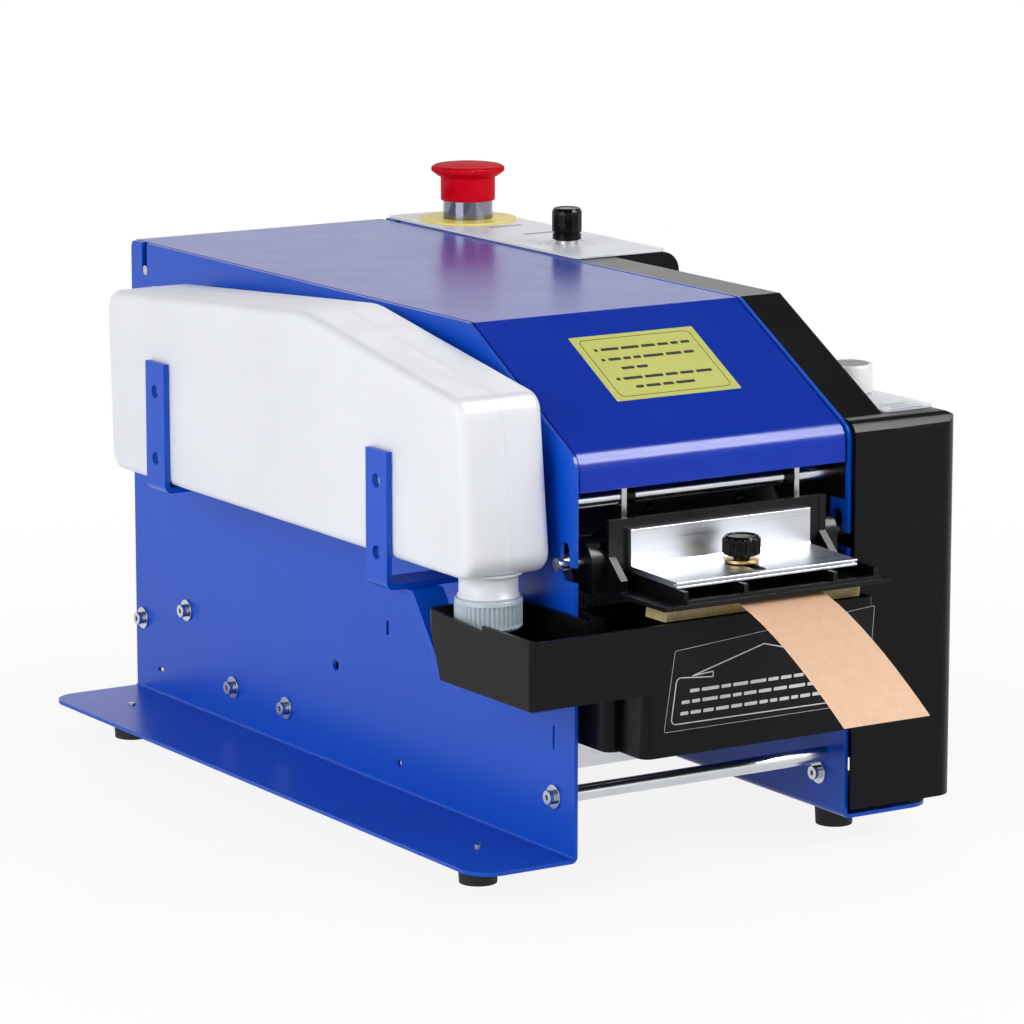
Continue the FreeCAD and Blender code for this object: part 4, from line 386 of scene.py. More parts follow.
# Each finish: how it is made, its colour (a setting's name, or 0 to 255 per channel), and what
# else its maker is told.
FINISHES = {
    "blue_plate": (powder_coat, "plate_blue", (0.30, 0.28)),
    "blue_bracket": (powder_coat, "plate_blue", (0.30, 0.28)),
    "blue_cover": (powder_coat, "cover_blue", (0.22, 0.22)),
    "black_housing": (powder_coat, "housing_black", (0.26, 0.12)),
    "black_frame": (powder_coat, (9, 9, 11), (0.28, 0.2)),
    "black_plastic": (moulded, "tank_black", (0.30, 1800.0, 0.00003, 0.13)),
    "board_green": (moulded, (26, 92, 52), (0.35,)),
    "dial_grey": (moulded, (246, 247, 249), (0.34, 1600.0, FINE)),
    "dial_top": (moulded, (96, 97, 101), (0.30,)),
    "knob_black": (polished_plastic, (5, 5, 6), (0.18, 0.14)),
    "cap_plastic": (polished_plastic, "cap_grey", (0.32, 0.4)),
    "red_plastic": (lacquered, "button_red", ()),
    "bright_steel": (turned_metal, (200, 203, 208), (0.2,)),
    "bezel_chrome": (turned_metal, (128, 131, 140), (0.10,)),
    "aluminium": (brushed_aluminium, (195, 197, 202), ()),
    "steel": (zinc_plate, (190, 190, 193), ()),
    "brass": (zinc_plate, (196, 168, 112), (0.3,)),
    "grey_plate": (zinc_plate, (214, 216, 220), (0.34,)),
    "rubber": (soft_rubber, (20, 20, 21), ()),
    "feed_rubber": (soft_rubber, (20, 20, 21), ()),
    "tape_paper": (kraft_paper, "tape_brown", ()),
    "roll_paper": (wound_paper, "tape_brown", ()),
    "core_board": (planed_wood, (168, 128, 92), ()),
    "brush_wood": (planed_wood, (196, 160, 108), ()),
    "bristle": (bristles, (212, 196, 142), ()),
    "bottle_plastic": (milky_plastic, "bottle_white", ()),
    "panel_film": (pale_film, "film_grey", ()),
    "yellow_label": (pale_film, "label_yellow", (0.40,)),
    "tank_film": (pale_film, (15, 15, 18), (0.34, 0.16)),
    "ring_yellow": (pale_film, (244, 230, 104), (0.36,)),
    "black_ink": (pale_film, (34, 36, 20), (0.45,)),
    "white_ink": (pale_film, (214, 216, 220), (0.45,)),
    "grey_ink": (pale_film, (150, 154, 166), (0.45,)),
}
MATERIALS = {}


def material(name):
    """The finish of a record's slot, or of a print, made once."""
    if name not in MATERIALS:
        make, colour, told = FINISHES[name]
        if isinstance(colour, str):
            colour = getattr(bpy.context.scene.dispenser_colours, colour)
        else:
            colour = paint(*colour)
        MATERIALS[name] = make(name, colour, *told)
    return MATERIALS[name]


# ---------------------------------------------------------------- pieces

# Angles, in degrees, from which an edge stays sharp, and below which facets count as one flat.
SHARP, SHARP_SHEET, SHARP_GRIP, SHARP_TUFT, SHARP_ROUND = 32.0, 25.0, 40.0, 50.0, 60.0
FLAT_ANGLE = 0.2
BEVEL_SEGMENTS = 2


def body_of(node):
    return frame["nodes"][node]["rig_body"]


def as_piece(mesh, body, slot, finish=None, replaces=(), sharp=SHARP):
    """Put a mesh into the scene as a piece that rides on a body, smooth up to the sharp angle."""
    mesh.materials.clear()
    mesh.materials.append(material(finish or slot))
    mesh.shade_smooth()
    mesh.set_sharp_from_angle(angle=math.radians(sharp))
    piece = bpy.data.objects.new(mesh.name, mesh)
    bpy.context.scene.collection.objects.link(piece)
    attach(piece, body)
    if replaces:
        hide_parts(*replaces)
    return piece


def in_place_of(node, mesh, sharp, finish=None):
    """A finer mesh that stands for a CAD node, on the node's body and in its slot."""
    return as_piece(mesh, body_of(node), SLOT_OF[node], finish, (node,), sharp)


def softened(*nodes, width=None, finish=None, sharp=SHARP):
    """CAD nodes' own shapes with facets joined, flats whole and hard edges rounded by a width.

    The width is in millimetres, the setting's where none is given, and 0 leaves the edges.
    """
    for node in nodes:
        mesh = bpy.data.meshes.new(node + "_shown")
        work = bmesh.new()
        work.from_mesh(frame["nodes"][node].data)
        bmesh.ops.remove_doubles(work, verts=work.verts, dist=MERGE)
        bmesh.ops.dissolve_limit(work, angle_limit=math.radians(FLAT_ANGLE), verts=work.verts,
                                 edges=work.edges)
        work.to_mesh(mesh)
        work.free()
        piece = in_place_of(node, mesh, sharp, finish)
        if width != 0:
            edge = bpy.context.scene.dispenser_sizes.edge
            rounding = piece.modifiers.new("Edges", "BEVEL")
            rounding.width = edge if width is None else width * MM
            rounding.segments = BEVEL_SEGMENTS
            rounding.limit_method = "ANGLE"
            rounding.angle_limit = math.radians(sharp)
            rounding.harden_normals = True
        piece.modifiers.new("Shading", "WEIGHTED_NORMAL").keep_sharp = True


# ---------------------------------------------------------------- shapes

# Half the angle between two runs past which their corner counts as straight.
STRAIGHT = 1.57
# Steps round a corner, and round each rib, flute, tooth or ridge of a turned piece.
CORNER_STEPS = 3
RIB_STEPS, FLUTE_STEPS, TOOTH_STEPS, RIDGE_STEPS = 8, 12, 6, 10


def surface(name, points, wrap=True):
    """Mesh of points[i, j]. wrap joins the last column to the first; equal points are merged."""
    rows, columns = points.shape[:2]
    index = np.arange(rows * columns).reshape(rows, columns)
    if wrap:
        index = np.concatenate([index, index[:, :1]], axis=1)
    faces = np.stack([index[:-1, :-1], index[:-1, 1:], index[1:, 1:], index[1:, :-1]], axis=-1)
    mesh = bpy.data.meshes.new(name)
    mesh.from_pydata(points.reshape(-1, 3).tolist(), [], faces.reshape(-1, 4).tolist())
    work = bmesh.new()
    work.from_mesh(mesh)
    bmesh.ops.remove_doubles(work, verts=work.verts, dist=MERGE)
    bmesh.ops.recalc_face_normals(work, faces=work.faces)
    work.to_mesh(mesh)
    work.free()
    return mesh


def joined(name, meshes):
    """Several meshes as one."""
    work = bmesh.new()
    for mesh in meshes:
        work.from_mesh(mesh)
        bpy.data.meshes.remove(mesh)
    whole = bpy.data.meshes.new(name)
    work.to_mesh(whole)
    work.free()
    return whole


def arc_outline(corners, steps=6):
    """A closed outline of (u, v, radius) corners, each corner an arc that touches both sides.

    The arc's centre lies on the corner's bisector at radius / sin(half the angle).
    """
    points = []
    count = len(corners)
    for place in range(count):
        here = np.array(corners[place][:2], float)
        radius = corners[place][2]
        before = np.array(corners[place - 1][:2], float) - here
        after = np.array(corners[(place + 1) % count][:2], float) - here
        before /= np.linalg.norm(before)
        after /= np.linalg.norm(after)
        half = math.acos(float(np.clip(before @ after, -1.0, 1.0))) / 2
        if radius <= 0 or half > STRAIGHT:
            points.append(here[None, :])
            continue
        bisector = (before + after) / np.linalg.norm(before + after)
        centre = here + bisector * radius / math.sin(half)
        start = here + before * radius / math.tan(half) - centre
        end = here + after * radius / math.tan(half) - centre
        turn = math.atan2(start[0] * end[1] - start[1] * end[0], start @ end)
        angles = np.linspace(0.0, turn, steps + 1)
        cos, sin = np.cos(angles), np.sin(angles)
        points.append(centre + np.stack([start[0] * cos - start[1] * sin,
                                         start[0] * sin + start[1] * cos], axis=-1))
    return np.concatenate(points)


def rounded_box(width, length, radius, middle=(0.0, 0.0), steps=5):
    """Outline of a rectangle about a middle, each corner with the same radius."""
    return arc_outline([(middle[0] + u * width / 2, middle[1] + v * length / 2, radius)
                        for u, v in ((-1, -1), (1, -1), (1, 1), (-1, 1))], steps)


def filled_in(outline, spacing):
    """The outline with extra points on its long runs, at most a spacing apart."""
    points = []
    for start, end in zip(outline, np.roll(outline, -1, axis=0)):
        count = max(1, int(np.linalg.norm(end - start) / spacing))
        share = np.linspace(0.0, 1.0, count, endpoint=False)[:, None]
        points.append(start + (end - start) * share)
    return np.concatenate(points)


def outward(outline):
    """Unit normals of a closed outline, from the run between each point's neighbours."""
    run = np.roll(outline, -1, axis=0) - np.roll(outline, 1, axis=0)
    normal = np.stack([run[:, 1], -run[:, 0]], axis=-1)
    normal /= np.linalg.norm(normal, axis=1, keepdims=True)
    facing = np.sign(((outline - outline.mean(axis=0)) * normal).sum(axis=1).mean())
    return normal * facing


def turned(name, foot, profile, steps=96, ribs=0, rib_depth=0.0, rib_span=(0.0, 0.0)):
    """A profile of (radius, height) in millimetres turned about an upright axis.

    x = r cos a, y = r sin a. Between the two heights of rib_span the radius is drawn in by
    rib_depth times (0.5 - 0.5 cos(ribs a)) to the power 1.5: round ribs with narrow grooves.
    """
    profile = np.array(profile, float)
    angle = np.linspace(0.0, FULL_TURN, steps, endpoint=False)
    radius = np.repeat(profile[:, :1], steps, axis=1)
    height = np.repeat(profile[:, 1:2], steps, axis=1)
    inside = (height > rib_span[0]) & (height < rib_span[1]) & (radius > 0)
    radius = radius - inside * rib_depth * (0.5 - 0.5 * np.cos(ribs * angle)) ** 1.5
    points = np.stack([radius * np.cos(angle), radius * np.sin(angle), height], axis=-1)
    return surface(name, np.array(foot) + points * MM)


def near(radius, height, *steps):
    """Profile points beside a corner at a radius and height, each given by its step from it."""
    return [(radius + out, height + up) for out, up in steps]


def rising(radius, low, high, count):
    """Profile points straight up from low to high."""
    return [(radius, level) for level in np.linspace(low, high, count)]


def standing(node):
    """A turned node's foot on its axis, with its height and radius in millimetres."""
    low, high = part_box(node)
    foot = Vector(((low.x + high.x) / 2, (low.y + high.y) / 2, low.z))
    return foot, (high.z - low.z) / MM, (high.x - low.x) / 2 / MM


# Thickness of ink and of foil, and the shortest run of a line, in millimetres.
PRINT, FOIL, SHORTEST_RUN = 0.06, 0.15, 0.0001
# Degrees between which the knobs' scales run, and the length of a short mark beside a long one.
SCALE_START, SCALE_END, SHORT_MARK = -45, 225, 0.6


class Face:
    """A flat face to put plates and prints on: an origin and two directions in it.

    A point is origin + u across + v along + h normal, with u, v and h in millimetres.
    """

    def __init__(self, origin, across=X_WAY, along=Y_WAY):
        self.origin = Vector(origin)
        self.across, self.along = Vector(across).normalized(), Vector(along).normalized()
        self.normal = self.across.cross(self.along)

    def moved(self, across=0.0, along=0.0, lift=0.0):
        """The face with its origin moved along its own directions."""
        shift = self.across * across + self.along * along + self.normal * lift
        return Face(self.origin + shift * MM, self.across, self.along)

    def plate(self, name, outline, thickness=PRINT):
        """A thin plate: an outline of (u, v) points, with h from 0 to the thickness."""
        outline = np.array(outline, float) * MM
        flat = (np.array(self.origin) + outline[:, :1] * np.array(self.across)
                + outline[:, 1:2] * np.array(self.along))
        lift = np.array(self.normal) * thickness * MM
        count = len(outline)
        below, above = range(count), range(count, 2 * count)
        sides = [(i, (i + 1) % count, count + (i + 1) % count, count + i) for i in range(count)]
        mesh = bpy.data.meshes.new(name)
        mesh.from_pydata(np.concatenate([flat, flat + lift]).tolist(), [],
                         [tuple(reversed(below)), tuple(above), *sides])
        return mesh

    def line(self, name, path, width, closed=False):
        """A printed line along a path of (u, v) points: each run is a narrow plate."""
        path = np.array(path, float)
        ends = zip(path, np.roll(path, -1, axis=0)) if closed else zip(path, path[1:])
        runs = []
        for start, end in ends:
            length = np.linalg.norm(end - start)
            if length < SHORTEST_RUN:
                continue
            ahead = (end - start) / length * width / 2
            side = np.array([-ahead[1], ahead[0]])
            runs.append(self.plate(name, [start - ahead - side, end + ahead - side,
                                          end + ahead + side, start - ahead + side]))
        return joined(name, runs)

    def word_bars(self, name, rows, height, seed):
        """Rows of plain bars in place of print: 2 to 6 heights long, with gaps of 0.8 height.

        A row is its start, its end and its level.
        """
        draw = np.random.default_rng(seed)
        bars = []
        for at, end, level in rows:
            while at < end - height:
                long = min(height * draw.uniform(2.0, 6.0), end - at)
                bar = rounded_box(long, height, height * 0.3, (at + long / 2, level))
                bars.append(self.plate(name, bar))
                at += long + height * 0.8
        return joined(name, bars)

    def marks(self, name, radius, length, width, count):
        """Printed marks in an arc about the origin, every third one longer."""
        made = []
        for place, angle in enumerate(np.radians(np.linspace(SCALE_START, SCALE_END, count))):
            out = Vector((math.cos(angle), math.sin(angle), 0.0))
            far = length * (SHORT_MARK if place % 3 else 1.0)
            mark = rounded_box(far, width, width * 0.3, (radius + far / 2, 0.0))
            made.append(Face(self.origin, out, (-out.y, out.x, 0.0)).plate(name, mark))
        return joined(name, made)

    def numeral(self, name, text, height):
        """A number about the origin, as a flat mesh with a slight thickness, on a level face."""
        curve = bpy.data.curves.new(name, "FONT")
        curve.body = text
        curve.size = height * MM
        curve.extrude = PRINT * MM / 2
        curve.align_x = curve.align_y = "CENTER"
        curve.resolution_u = 2
        holder = bpy.data.objects.new(name, curve)
        bpy.context.scene.collection.objects.link(holder)
        bpy.context.view_layer.update()
        mesh = bpy.data.meshes.new_from_object(holder)
        bpy.data.objects.remove(holder)
        mesh.transform(Matrix.Translation(self.moved(lift=PRINT / 2).origin))
        return mesh


# ---------------------------------------------------------------- bottle

# Side view of the bottle, in millimetres from the plates' front edge and underside.
BOTTLE_FRONT, BOTTLE_REAR, BOTTLE_LOW = 9.0, 378.0, 143.2
FRONT_TOP, FRONT_LEAN, REAR_TOP, REAR_LEAN = 231.0, 9.5, 240.0, 4.0
KNEE_BACK, KNEE_UP, KNEE_ROUNDING = 168.0, 256.0, 60.0
# How far the side faces and the belt round the bottle swell, and where the belt starts.
FACE_CROWN, BELT_CROWN, BELT_START = 0.3, 0.15, 1.2
# The seam's points: how far across, and how far its shoulder is drawn in.
SEAM_ACROSS, SEAM_SHOULDER = (0.0, 0.5, 0.9), 0.05
# Points over the belt, round the edge and over a side face, and their distance round the outline.
BELT_POINTS, EDGE_POINTS, FACE_POINTS, OUTLINE_SPACING = 9, 11, 14, 6.0


def bottle_outline(corner):
    """Side view of the bottle with round corners and a soft knee."""
    return arc_outline([(BOTTLE_FRONT, BOTTLE_LOW, corner),
                        (BOTTLE_REAR - REAR_LEAN, BOTTLE_LOW, corner),
                        (BOTTLE_REAR, REAR_TOP, corner), (KNEE_BACK, KNEE_UP, KNEE_ROUNDING),
                        (BOTTLE_FRONT + FRONT_LEAN, FRONT_TOP, corner)], steps=10)


def bottle_shell(sizes):
    """The bottle: its side outline drawn in towards each side face.

    From the middle outwards: a parting seam, a belt with a slight crown, a quarter circle of the
    edge rounding (inset = r - r cos a, across = r sin a), and a side face whose outline shrinks
    evenly to the middle and that swells by its crown times 1 - shrink squared.
    """
    low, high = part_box("water_bottle")
    edge, seam = sizes.bottle_edge / MM, sizes.bottle_seam / MM
    outline = filled_in(bottle_outline(sizes.bottle_corner / MM), OUTLINE_SPACING)
    normal = outward(outline)
    half_flat = (high.x - low.x) / 2 / MM - FACE_CROWN
    belt = np.linspace(0.0, 1.0, BELT_POINTS)
    angle = np.linspace(0.0, math.pi / 2, EDGE_POINTS)[1:]
    belt_inset = seam + BELT_CROWN * belt ** 2
    across = np.concatenate([SEAM_ACROSS, BELT_START + belt * (half_flat - edge - BELT_START),
                             half_flat - edge + edge * np.sin(angle)])
    inset = np.concatenate([[0.0, SEAM_SHOULDER, seam], belt_inset,
                            belt_inset[-1] + edge * (1 - np.cos(angle))])
    rings = outline[None] - normal[None] * inset[:, None, None]
    shrink = np.linspace(1.0, 0.0, FACE_POINTS)[1:]
    middle = rings[-1].mean(axis=0)
    face = middle + (rings[-1] - middle)[None] * shrink[:, None, None]
    rings = np.concatenate([rings, face])
    across = np.concatenate([across, half_flat + FACE_CROWN * (1 - shrink ** 2)])
    both = np.concatenate([rings[::-1], rings[1:]])
    sides = np.concatenate([across[::-1], -across[1:]])
    points = np.empty((*both.shape[:2], 3))
    points[..., 0] = (high.x + low.x) / 2 + sides[:, None] * MM
    points[..., 1] = PLATE_LOW.y + both[..., 0] * MM
    points[..., 2] = PLATE_LOW.z + both[..., 1] * MM
    return surface("bottle_shell", points)


def bottle_neck():
    """The neck: a tube with a bead, whose root flares by a quarter circle, open at its foot."""
    foot, *_ = standing("bottle_cap")
    foot.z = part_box("water_bottle")[0].z
    under = (PLATE_LOW.z - foot.z) / MM + BOTTLE_LOW
    radius, wall, flare, bead, chamfer = 14.5, 1.5, 2.5, 0.7, 0.6
    root_top, tube_top = under + 0.4, under + 1.0
    angle = np.linspace(0.0, math.pi / 2, 7)
    root = np.stack([radius + flare - flare * np.sin(angle),
                     root_top - flare * (1 - np.cos(angle))], axis=-1)
    tube = near(radius, 0.0, (0.0, 14.0), (bead, 13.5), (bead, 12.6), (0.0, 12.0),
                (0.0, chamfer), (-chamfer, 0.0), (-wall, 0.0), (-wall, tube_top),
                (flare, tube_top))
    return turned("bottle_neck", foot, [*root, *tube, root[0]], steps=72)


def ribbed_cap(ribs):
    """The cap: ribs on its skirt, a plain band at its rim, a floor and the valve's stem."""
    foot, height, radius = standing("bottle_cap")
    stem, inner, floor = 3.0, 14.55, 6.2
    profile = [(0.0, 0.0), *near(stem, 0.0, (-0.4, 0.0), (0.0, 0.4), (0.0, stem)),
               *near(radius, stem, (-2.6, 0.0), (-1.0, 0.5), (-0.5, 1.4), (0.0, 1.8)),
               *rising(radius, stem + 2.2, height - 2.6, 6),
               *near(radius, height, (0.0, -2.2), (-0.1, -2.0), (-0.1, -0.6), (-0.6, 0.0)),
               *near(inner, height, (0.4, 0.0), (0.0, -0.4)), (inner, floor), (0.0, floor)]
    return turned("bottle_cap_ribbed", foot, profile, ribs * RIB_STEPS, ribs, rib_depth=0.75,
                  rib_span=(stem + 1.9, height - 2.3))


# ---------------------------------------------------------------- knobs and buttons

def thumbscrew_knob(flutes):
    """The thumbscrew: stud, neck, a fluted grip between two collars, and a dished top."""
    foot, top, _ = standing("thumbscrew_knob")
    radius, stud, neck, grip_height, neck_height = 9.5, 2.5, 4.0, 9.6, 3.5
    base = top - grip_height
    profile = [(0.0, 0.0), *near(stud, 0.0, (-0.3, 0.0), (0.0, 0.3), (0.0, base - neck_height)),
               *near(neck, base, (0.0, -neck_height), (0.0, -0.4), (0.4, 0.0)),
               *near(radius, base, (-1.6, 0.0), (-0.6, 0.5), (-0.05, 1.0)),
               *rising(radius, base + 1.2, top - 1.9, 5),
               *near(radius, top, (-0.2, -1.4), (-0.9, -0.9), (-1.2, -0.2), (-1.5, 0.0),
                     (-2.3, 0.0), (-2.7, -0.5)), (0.0, top - 0.6)]
    return turned("thumbscrew_fluted", foot, profile, flutes * FLUTE_STEPS, flutes,
                  rib_depth=1.1, rib_span=(base + 0.9, top - 1.3))


def stop_head(teeth):
    """The emergency stop's head: a skirt, a flared underside, a toothed rim and a domed top.

    With s from 0 to 1 the flare runs out as s to the power 1.25 and up as s to the power 1.9,
    and the dome falls from the middle as the distance out to the power 2.6.
    """
    foot, top, rim = standing("estop_head")
    skirt, bore, ceiling, edge = 15.4, 14.6, 1.8, 17.7
    flare_start, flare_rise, dome_edge, dome_start = 13.3, 2.8, rim - 2.2, edge + 2.2
    share = np.linspace(0.0, 1.0, 8)[1:]
    flare = np.stack([skirt + (rim - 0.9 - skirt) * share ** 1.25,
                      flare_start + flare_rise * share ** 1.9], axis=-1)
    out = 1 - np.linspace(0.0, 1.0, 10)
    dome = np.stack([dome_edge * out, top - (top - dome_start) * out ** 2.6], axis=-1)
    profile = [(0.0, ceiling), (bore, ceiling), *near(bore, 0.0, (0.0, 0.2), (0.3, 0.0)),
               *near(skirt, 0.0, (-0.4, 0.0), (0.0, 0.4), (0.0, flare_start)), *flare,
               *near(rim, edge, (-0.3, -1.2), (0.0, -0.6), (0.0, 0.0), (0.0, 0.6), (-0.5, 1.3),
                     (-1.6, 1.9)), *dome]
    return turned("estop_head_toothed", foot, profile, teeth * TOOTH_STEPS, teeth,
                  rib_depth=0.45, rib_span=(edge - 1.0, edge + 1.0))


def speed_knob(ridges):
    """A small knob: its shaft, a plain foot, a groove, a ridged grip and a chamfered top."""
    foot, top, radius = standing("speed_knob")
    shaft, knob_height, foot_height = 3.0, 17.4, 3.2
    base = top - knob_height
    groove = base + foot_height
    profile = [(0.0, 0.0), (shaft, 0.0), (shaft, base),
               *near(radius, base, (-0.8, 0.0), (-0.3, 0.4)),
               *near(radius, groove, (-0.3, 0.0), (-0.9, 0.3), (-0.9, 0.8), (-0.1, 1.3)),
               *rising(radius, groove + 1.5, top - 2.0, 5),
               *near(radius, top, (-0.1, -1.7), (-0.5, -1.2), (-0.7, -0.5), (-1.3, 0.0),
                     (-2.2, 0.0), (-2.5, -0.3)), (0.0, top - 0.3)]
    return turned("speed_knob_ridged", foot, profile, ridges * RIDGE_STEPS, ridges,
                  rib_depth=0.22, rib_span=(groove + 1.2, top - 1.6))


DIAL_SUNK = 0.5


def length_dial():
    """The length dial: a plain drum with a raised rim round a sunk top."""
    foot, top, radius = standing("length_dial")
    shaft, drum_height = 3.0, 14.7
    base = top - drum_height
    profile = [(0.0, 0.0), (shaft, 0.0), (shaft, base),
               *near(radius, base, (-0.7, 0.0), (-0.2, 0.5), (-0.2, 1.6), (0.0, 2.0)),
               *near(radius, top, (0.0, -1.6), (-0.3, -0.6), (-1.0, 0.0), (-2.0, 0.0),
                     (-2.3, -DIAL_SUNK)), (0.0, top - DIAL_SUNK)]
    return turned("length_dial_drum", foot, profile)


def dial_face():
    """A thin disc with a rounded edge in the dial's sunk top."""
    foot, top, radius = standing("length_dial")
    reach, thick = radius - 2.5, 0.3
    profile = [(0.0, 0.0), *near(reach, 0.0, (-0.1, 0.0), (0.0, thick / 2), (-0.1, thick)),
               (0.0, thick)]
    foot.z += (top - DIAL_SUNK) * MM
    return turned("length_dial_face", foot, profile, steps=64)


# ---------------------------------------------------------------- labels and prints

# The cover's slope, and the label's place from its left edge and nose, in millimetres.
SLOPE_RUN, SLOPE_RISE, COVER_FACE = 97.5, 54.3, 1.0
LABEL_LEFT, LABEL_START = 47.8, 39.6
# Rows of bars as start, end and level, and the rows that open with a bullet.
LABEL_ROWS = ((13.0, 66.0, 40.0), (13.0, 66.0, 32.0), (16.5, 32.0, 24.5), (13.0, 66.0, 16.5),
              (16.5, 54.0, 9.5))
BULLET_ROWS, BULLET_LEFT, BULLET_ACROSS = (0, 1, 3), 10.0, 2.2
TANK_ROWS = ((39.0, 130.0, 89.9), (34.5, 134.0, 84.6), (34.0, 128.0, 79.0))
TANK_DRAFT = 5.0


def slope_label(sizes):
    """The yellow label, its rounded border, three bullets and rows of plain bars."""
    nose = spot(0.0, COVER_FACE, PLATE_HEIGHT - SLOPE_RISE)
    slope = Face(nose, along=(0.0, SLOPE_RUN - COVER_FACE, SLOPE_RISE))
    foil = slope.moved(LABEL_LEFT, LABEL_START)
    width, length = sizes.label_width / MM, sizes.label_length / MM
    middle = (width / 2, length / 2)
    as_piece(foil.plate("slope_label", rounded_box(width, length, 0.5, middle), FOIL),
             "top_cover", "yellow_label")
    ink = foil.moved(lift=FOIL)
    border = rounded_box(width - 8.0, length - 6.0, 3.0, middle)
    prints = [ink.line("label_border", border, width=0.35, closed=True),
              ink.word_bars("label_bars", LABEL_ROWS, height=2.0, seed=5)]
    for row in BULLET_ROWS:
        bullet = (BULLET_LEFT, LABEL_ROWS[row][2])
        prints.append(ink.plate("label_dot",
                                rounded_box(BULLET_ACROSS, BULLET_ACROSS, 1.0, bullet)))
    as_piece(joined("slope_label_print", prints), "top_cover", "yellow_label", "black_ink")


def tank_label():
    """The film on the tank's front wall: its edge, an arrow frame and rows of plain bars."""
    rise = (TANK_HIGH.z - TANK_LOW.z) / MM
    foil = Face((PLATE_LEFT, TANK_LOW.y + TANK_DRAFT * MM, TANK_LOW.z),
                along=(0.0, -TANK_DRAFT, rise))
    slope = math.hypot(TANK_DRAFT, rise) / rise
    foot = (TANK_LOW.z - PLATE_LOW.z) / MM

    def on_wall(points):
        """Points across and above the plate's underside, brought onto the sloping wall."""
        return [(x, (z - foot) * slope, *radius) for x, z, *radius in points]

    film = arc_outline(on_wall(((25.0, 70.6, 1.0), (146.0, 70.6, 1.0), (147.0, 120.0, 1.0),
                                (29.2, 110.9, 1.0))), CORNER_STEPS)
    as_piece(foil.plate("tank_label", film, FOIL), "chassis", "black_plastic", "tank_film")
    ink = foil.moved(lift=FOIL)
    thin, bold, arc = 0.18, 0.55, 2.6
    ring = arc_outline(on_wall(((52.1, 95.5, 0.0), (31.0, 97.4, arc), (28.8, 74.0, arc),
                                (139.5, 73.4, arc), (141.0, 97.4, arc), (123.0, 97.4, 0.0))),
                       steps=5)
    arrow = on_wall(((52.1, 95.5), (52.1, 98.2), (40.3, 97.4), (81.5, 108.5), (123.0, 97.4)))
    rows = [(start, end, (level - foot) * slope) for start, end, level in TANK_ROWS]
    prints = [ink.line("tank_film_edge", film, thin, closed=True),
              ink.line("tank_frame", ring, bold), ink.line("tank_arrow", arrow, bold),
              ink.word_bars("tank_bars", rows, height=1.7, seed=8)]
    as_piece(joined("tank_label_print", prints), "chassis", "black_plastic", "white_ink")


def panel_prints():
    """Marks and numbers on the two panels, and plain bars where each would be named."""
    def panel(node, x, y):
        return Face((x, y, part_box(node)[1].z))

    knob, *_ = standing("speed_knob")
    dial = panel("top_control_panel", knob.x, knob.y)
    prints = [dial.marks("speed_marks", radius=10.2, length=2.4, width=0.5, count=13)]
    reach = 15.2
    for place, angle in enumerate(np.radians(np.linspace(SCALE_END, SCALE_START, 5))):
        number = dial.moved(reach * math.cos(angle), reach * math.sin(angle))
        prints.append(number.numeral("speed_number", str(place * 2), height=3.6))
    for back, width in ((376.0, 21.0), (342.0, 19.0)):
        bar = panel("top_control_panel", *spot(198.0, back, 0.0).xy)
        prints.append(bar.plate("panel_bar", rounded_box(width, 4.2, 0.6)))
    as_piece(joined("top_panel_print", prints), "chassis", "panel_film", "grey_ink")
    knob, *_ = standing("length_dial")
    dial = panel("lower_control_panel", knob.x, knob.y)
    window = panel("lower_control_panel", *spot(205.0, 17.0, 0.0).xy)
    prints = [dial.marks("length_marks", radius=14.0, length=1.5, width=0.4, count=19),
              window.line("panel_window", rounded_box(21.0, 15.0, 1.2), width=0.4, closed=True)]
    prints += [window.plate("panel_row", rounded_box(15.0, 1.8, 0.5, (0.0, offset)))
               for offset in (-4.0, 0.0, 4.0)]
    as_piece(joined("lower_panel_print", prints), "chassis", "panel_film", "grey_ink")


# ---------------------------------------------------------------- brush and small screws

# The brush leans with the tank's front wall, and its band ends just under the tank's rim.
BRUSH_LEAN = (TANK_DRAFT - 0.3) * MM
HOLDER_TOP = TANK_HIGH.z - 0.4 * MM
TUFT_PITCH, TUFT_DEPTH, TUFT_SPACING = 2.4 * MM, 0.35 * MM, 0.6 * MM
# How unevenly the bristles end, and how far their middle is sunk.
RAGGED, SUNK = 0.8 * MM, 0.6 * MM


def brush_plan(rounding):
    """The brush's box, with its plan from the box's front left corner."""
    low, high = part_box("brush_bristles")
    width, deep = high.x - low.x, high.y - low.y - BRUSH_LEAN
    plan = rounded_box(width, deep, rounding * MM, (width / 2, deep / 2), CORNER_STEPS)
    return low, high, plan


def bristle_holder():
    """The dark band that binds the bristles: the block's own outline up to the holder's top.

    Section across the brush: foot set back by the lean, top at the lean's share of that height.
    """
    low, high, plan = brush_plan(1.2)
    level = np.array([low.z, HOLDER_TOP])
    start = low.y + BRUSH_LEAN * (high.z - level) / (high.z - low.z)
    points = np.empty((4, len(plan), 3))
    points[1:3, :, 0] = low.x + plan[:, 0]
    points[1:3, :, 1] = start[:, None] + plan[:, 1]
    points[1:3, :, 2] = level[:, None]
    points[0] = points[1].mean(axis=0)
    points[3] = points[2].mean(axis=0)
    return surface("brush_holder", points)


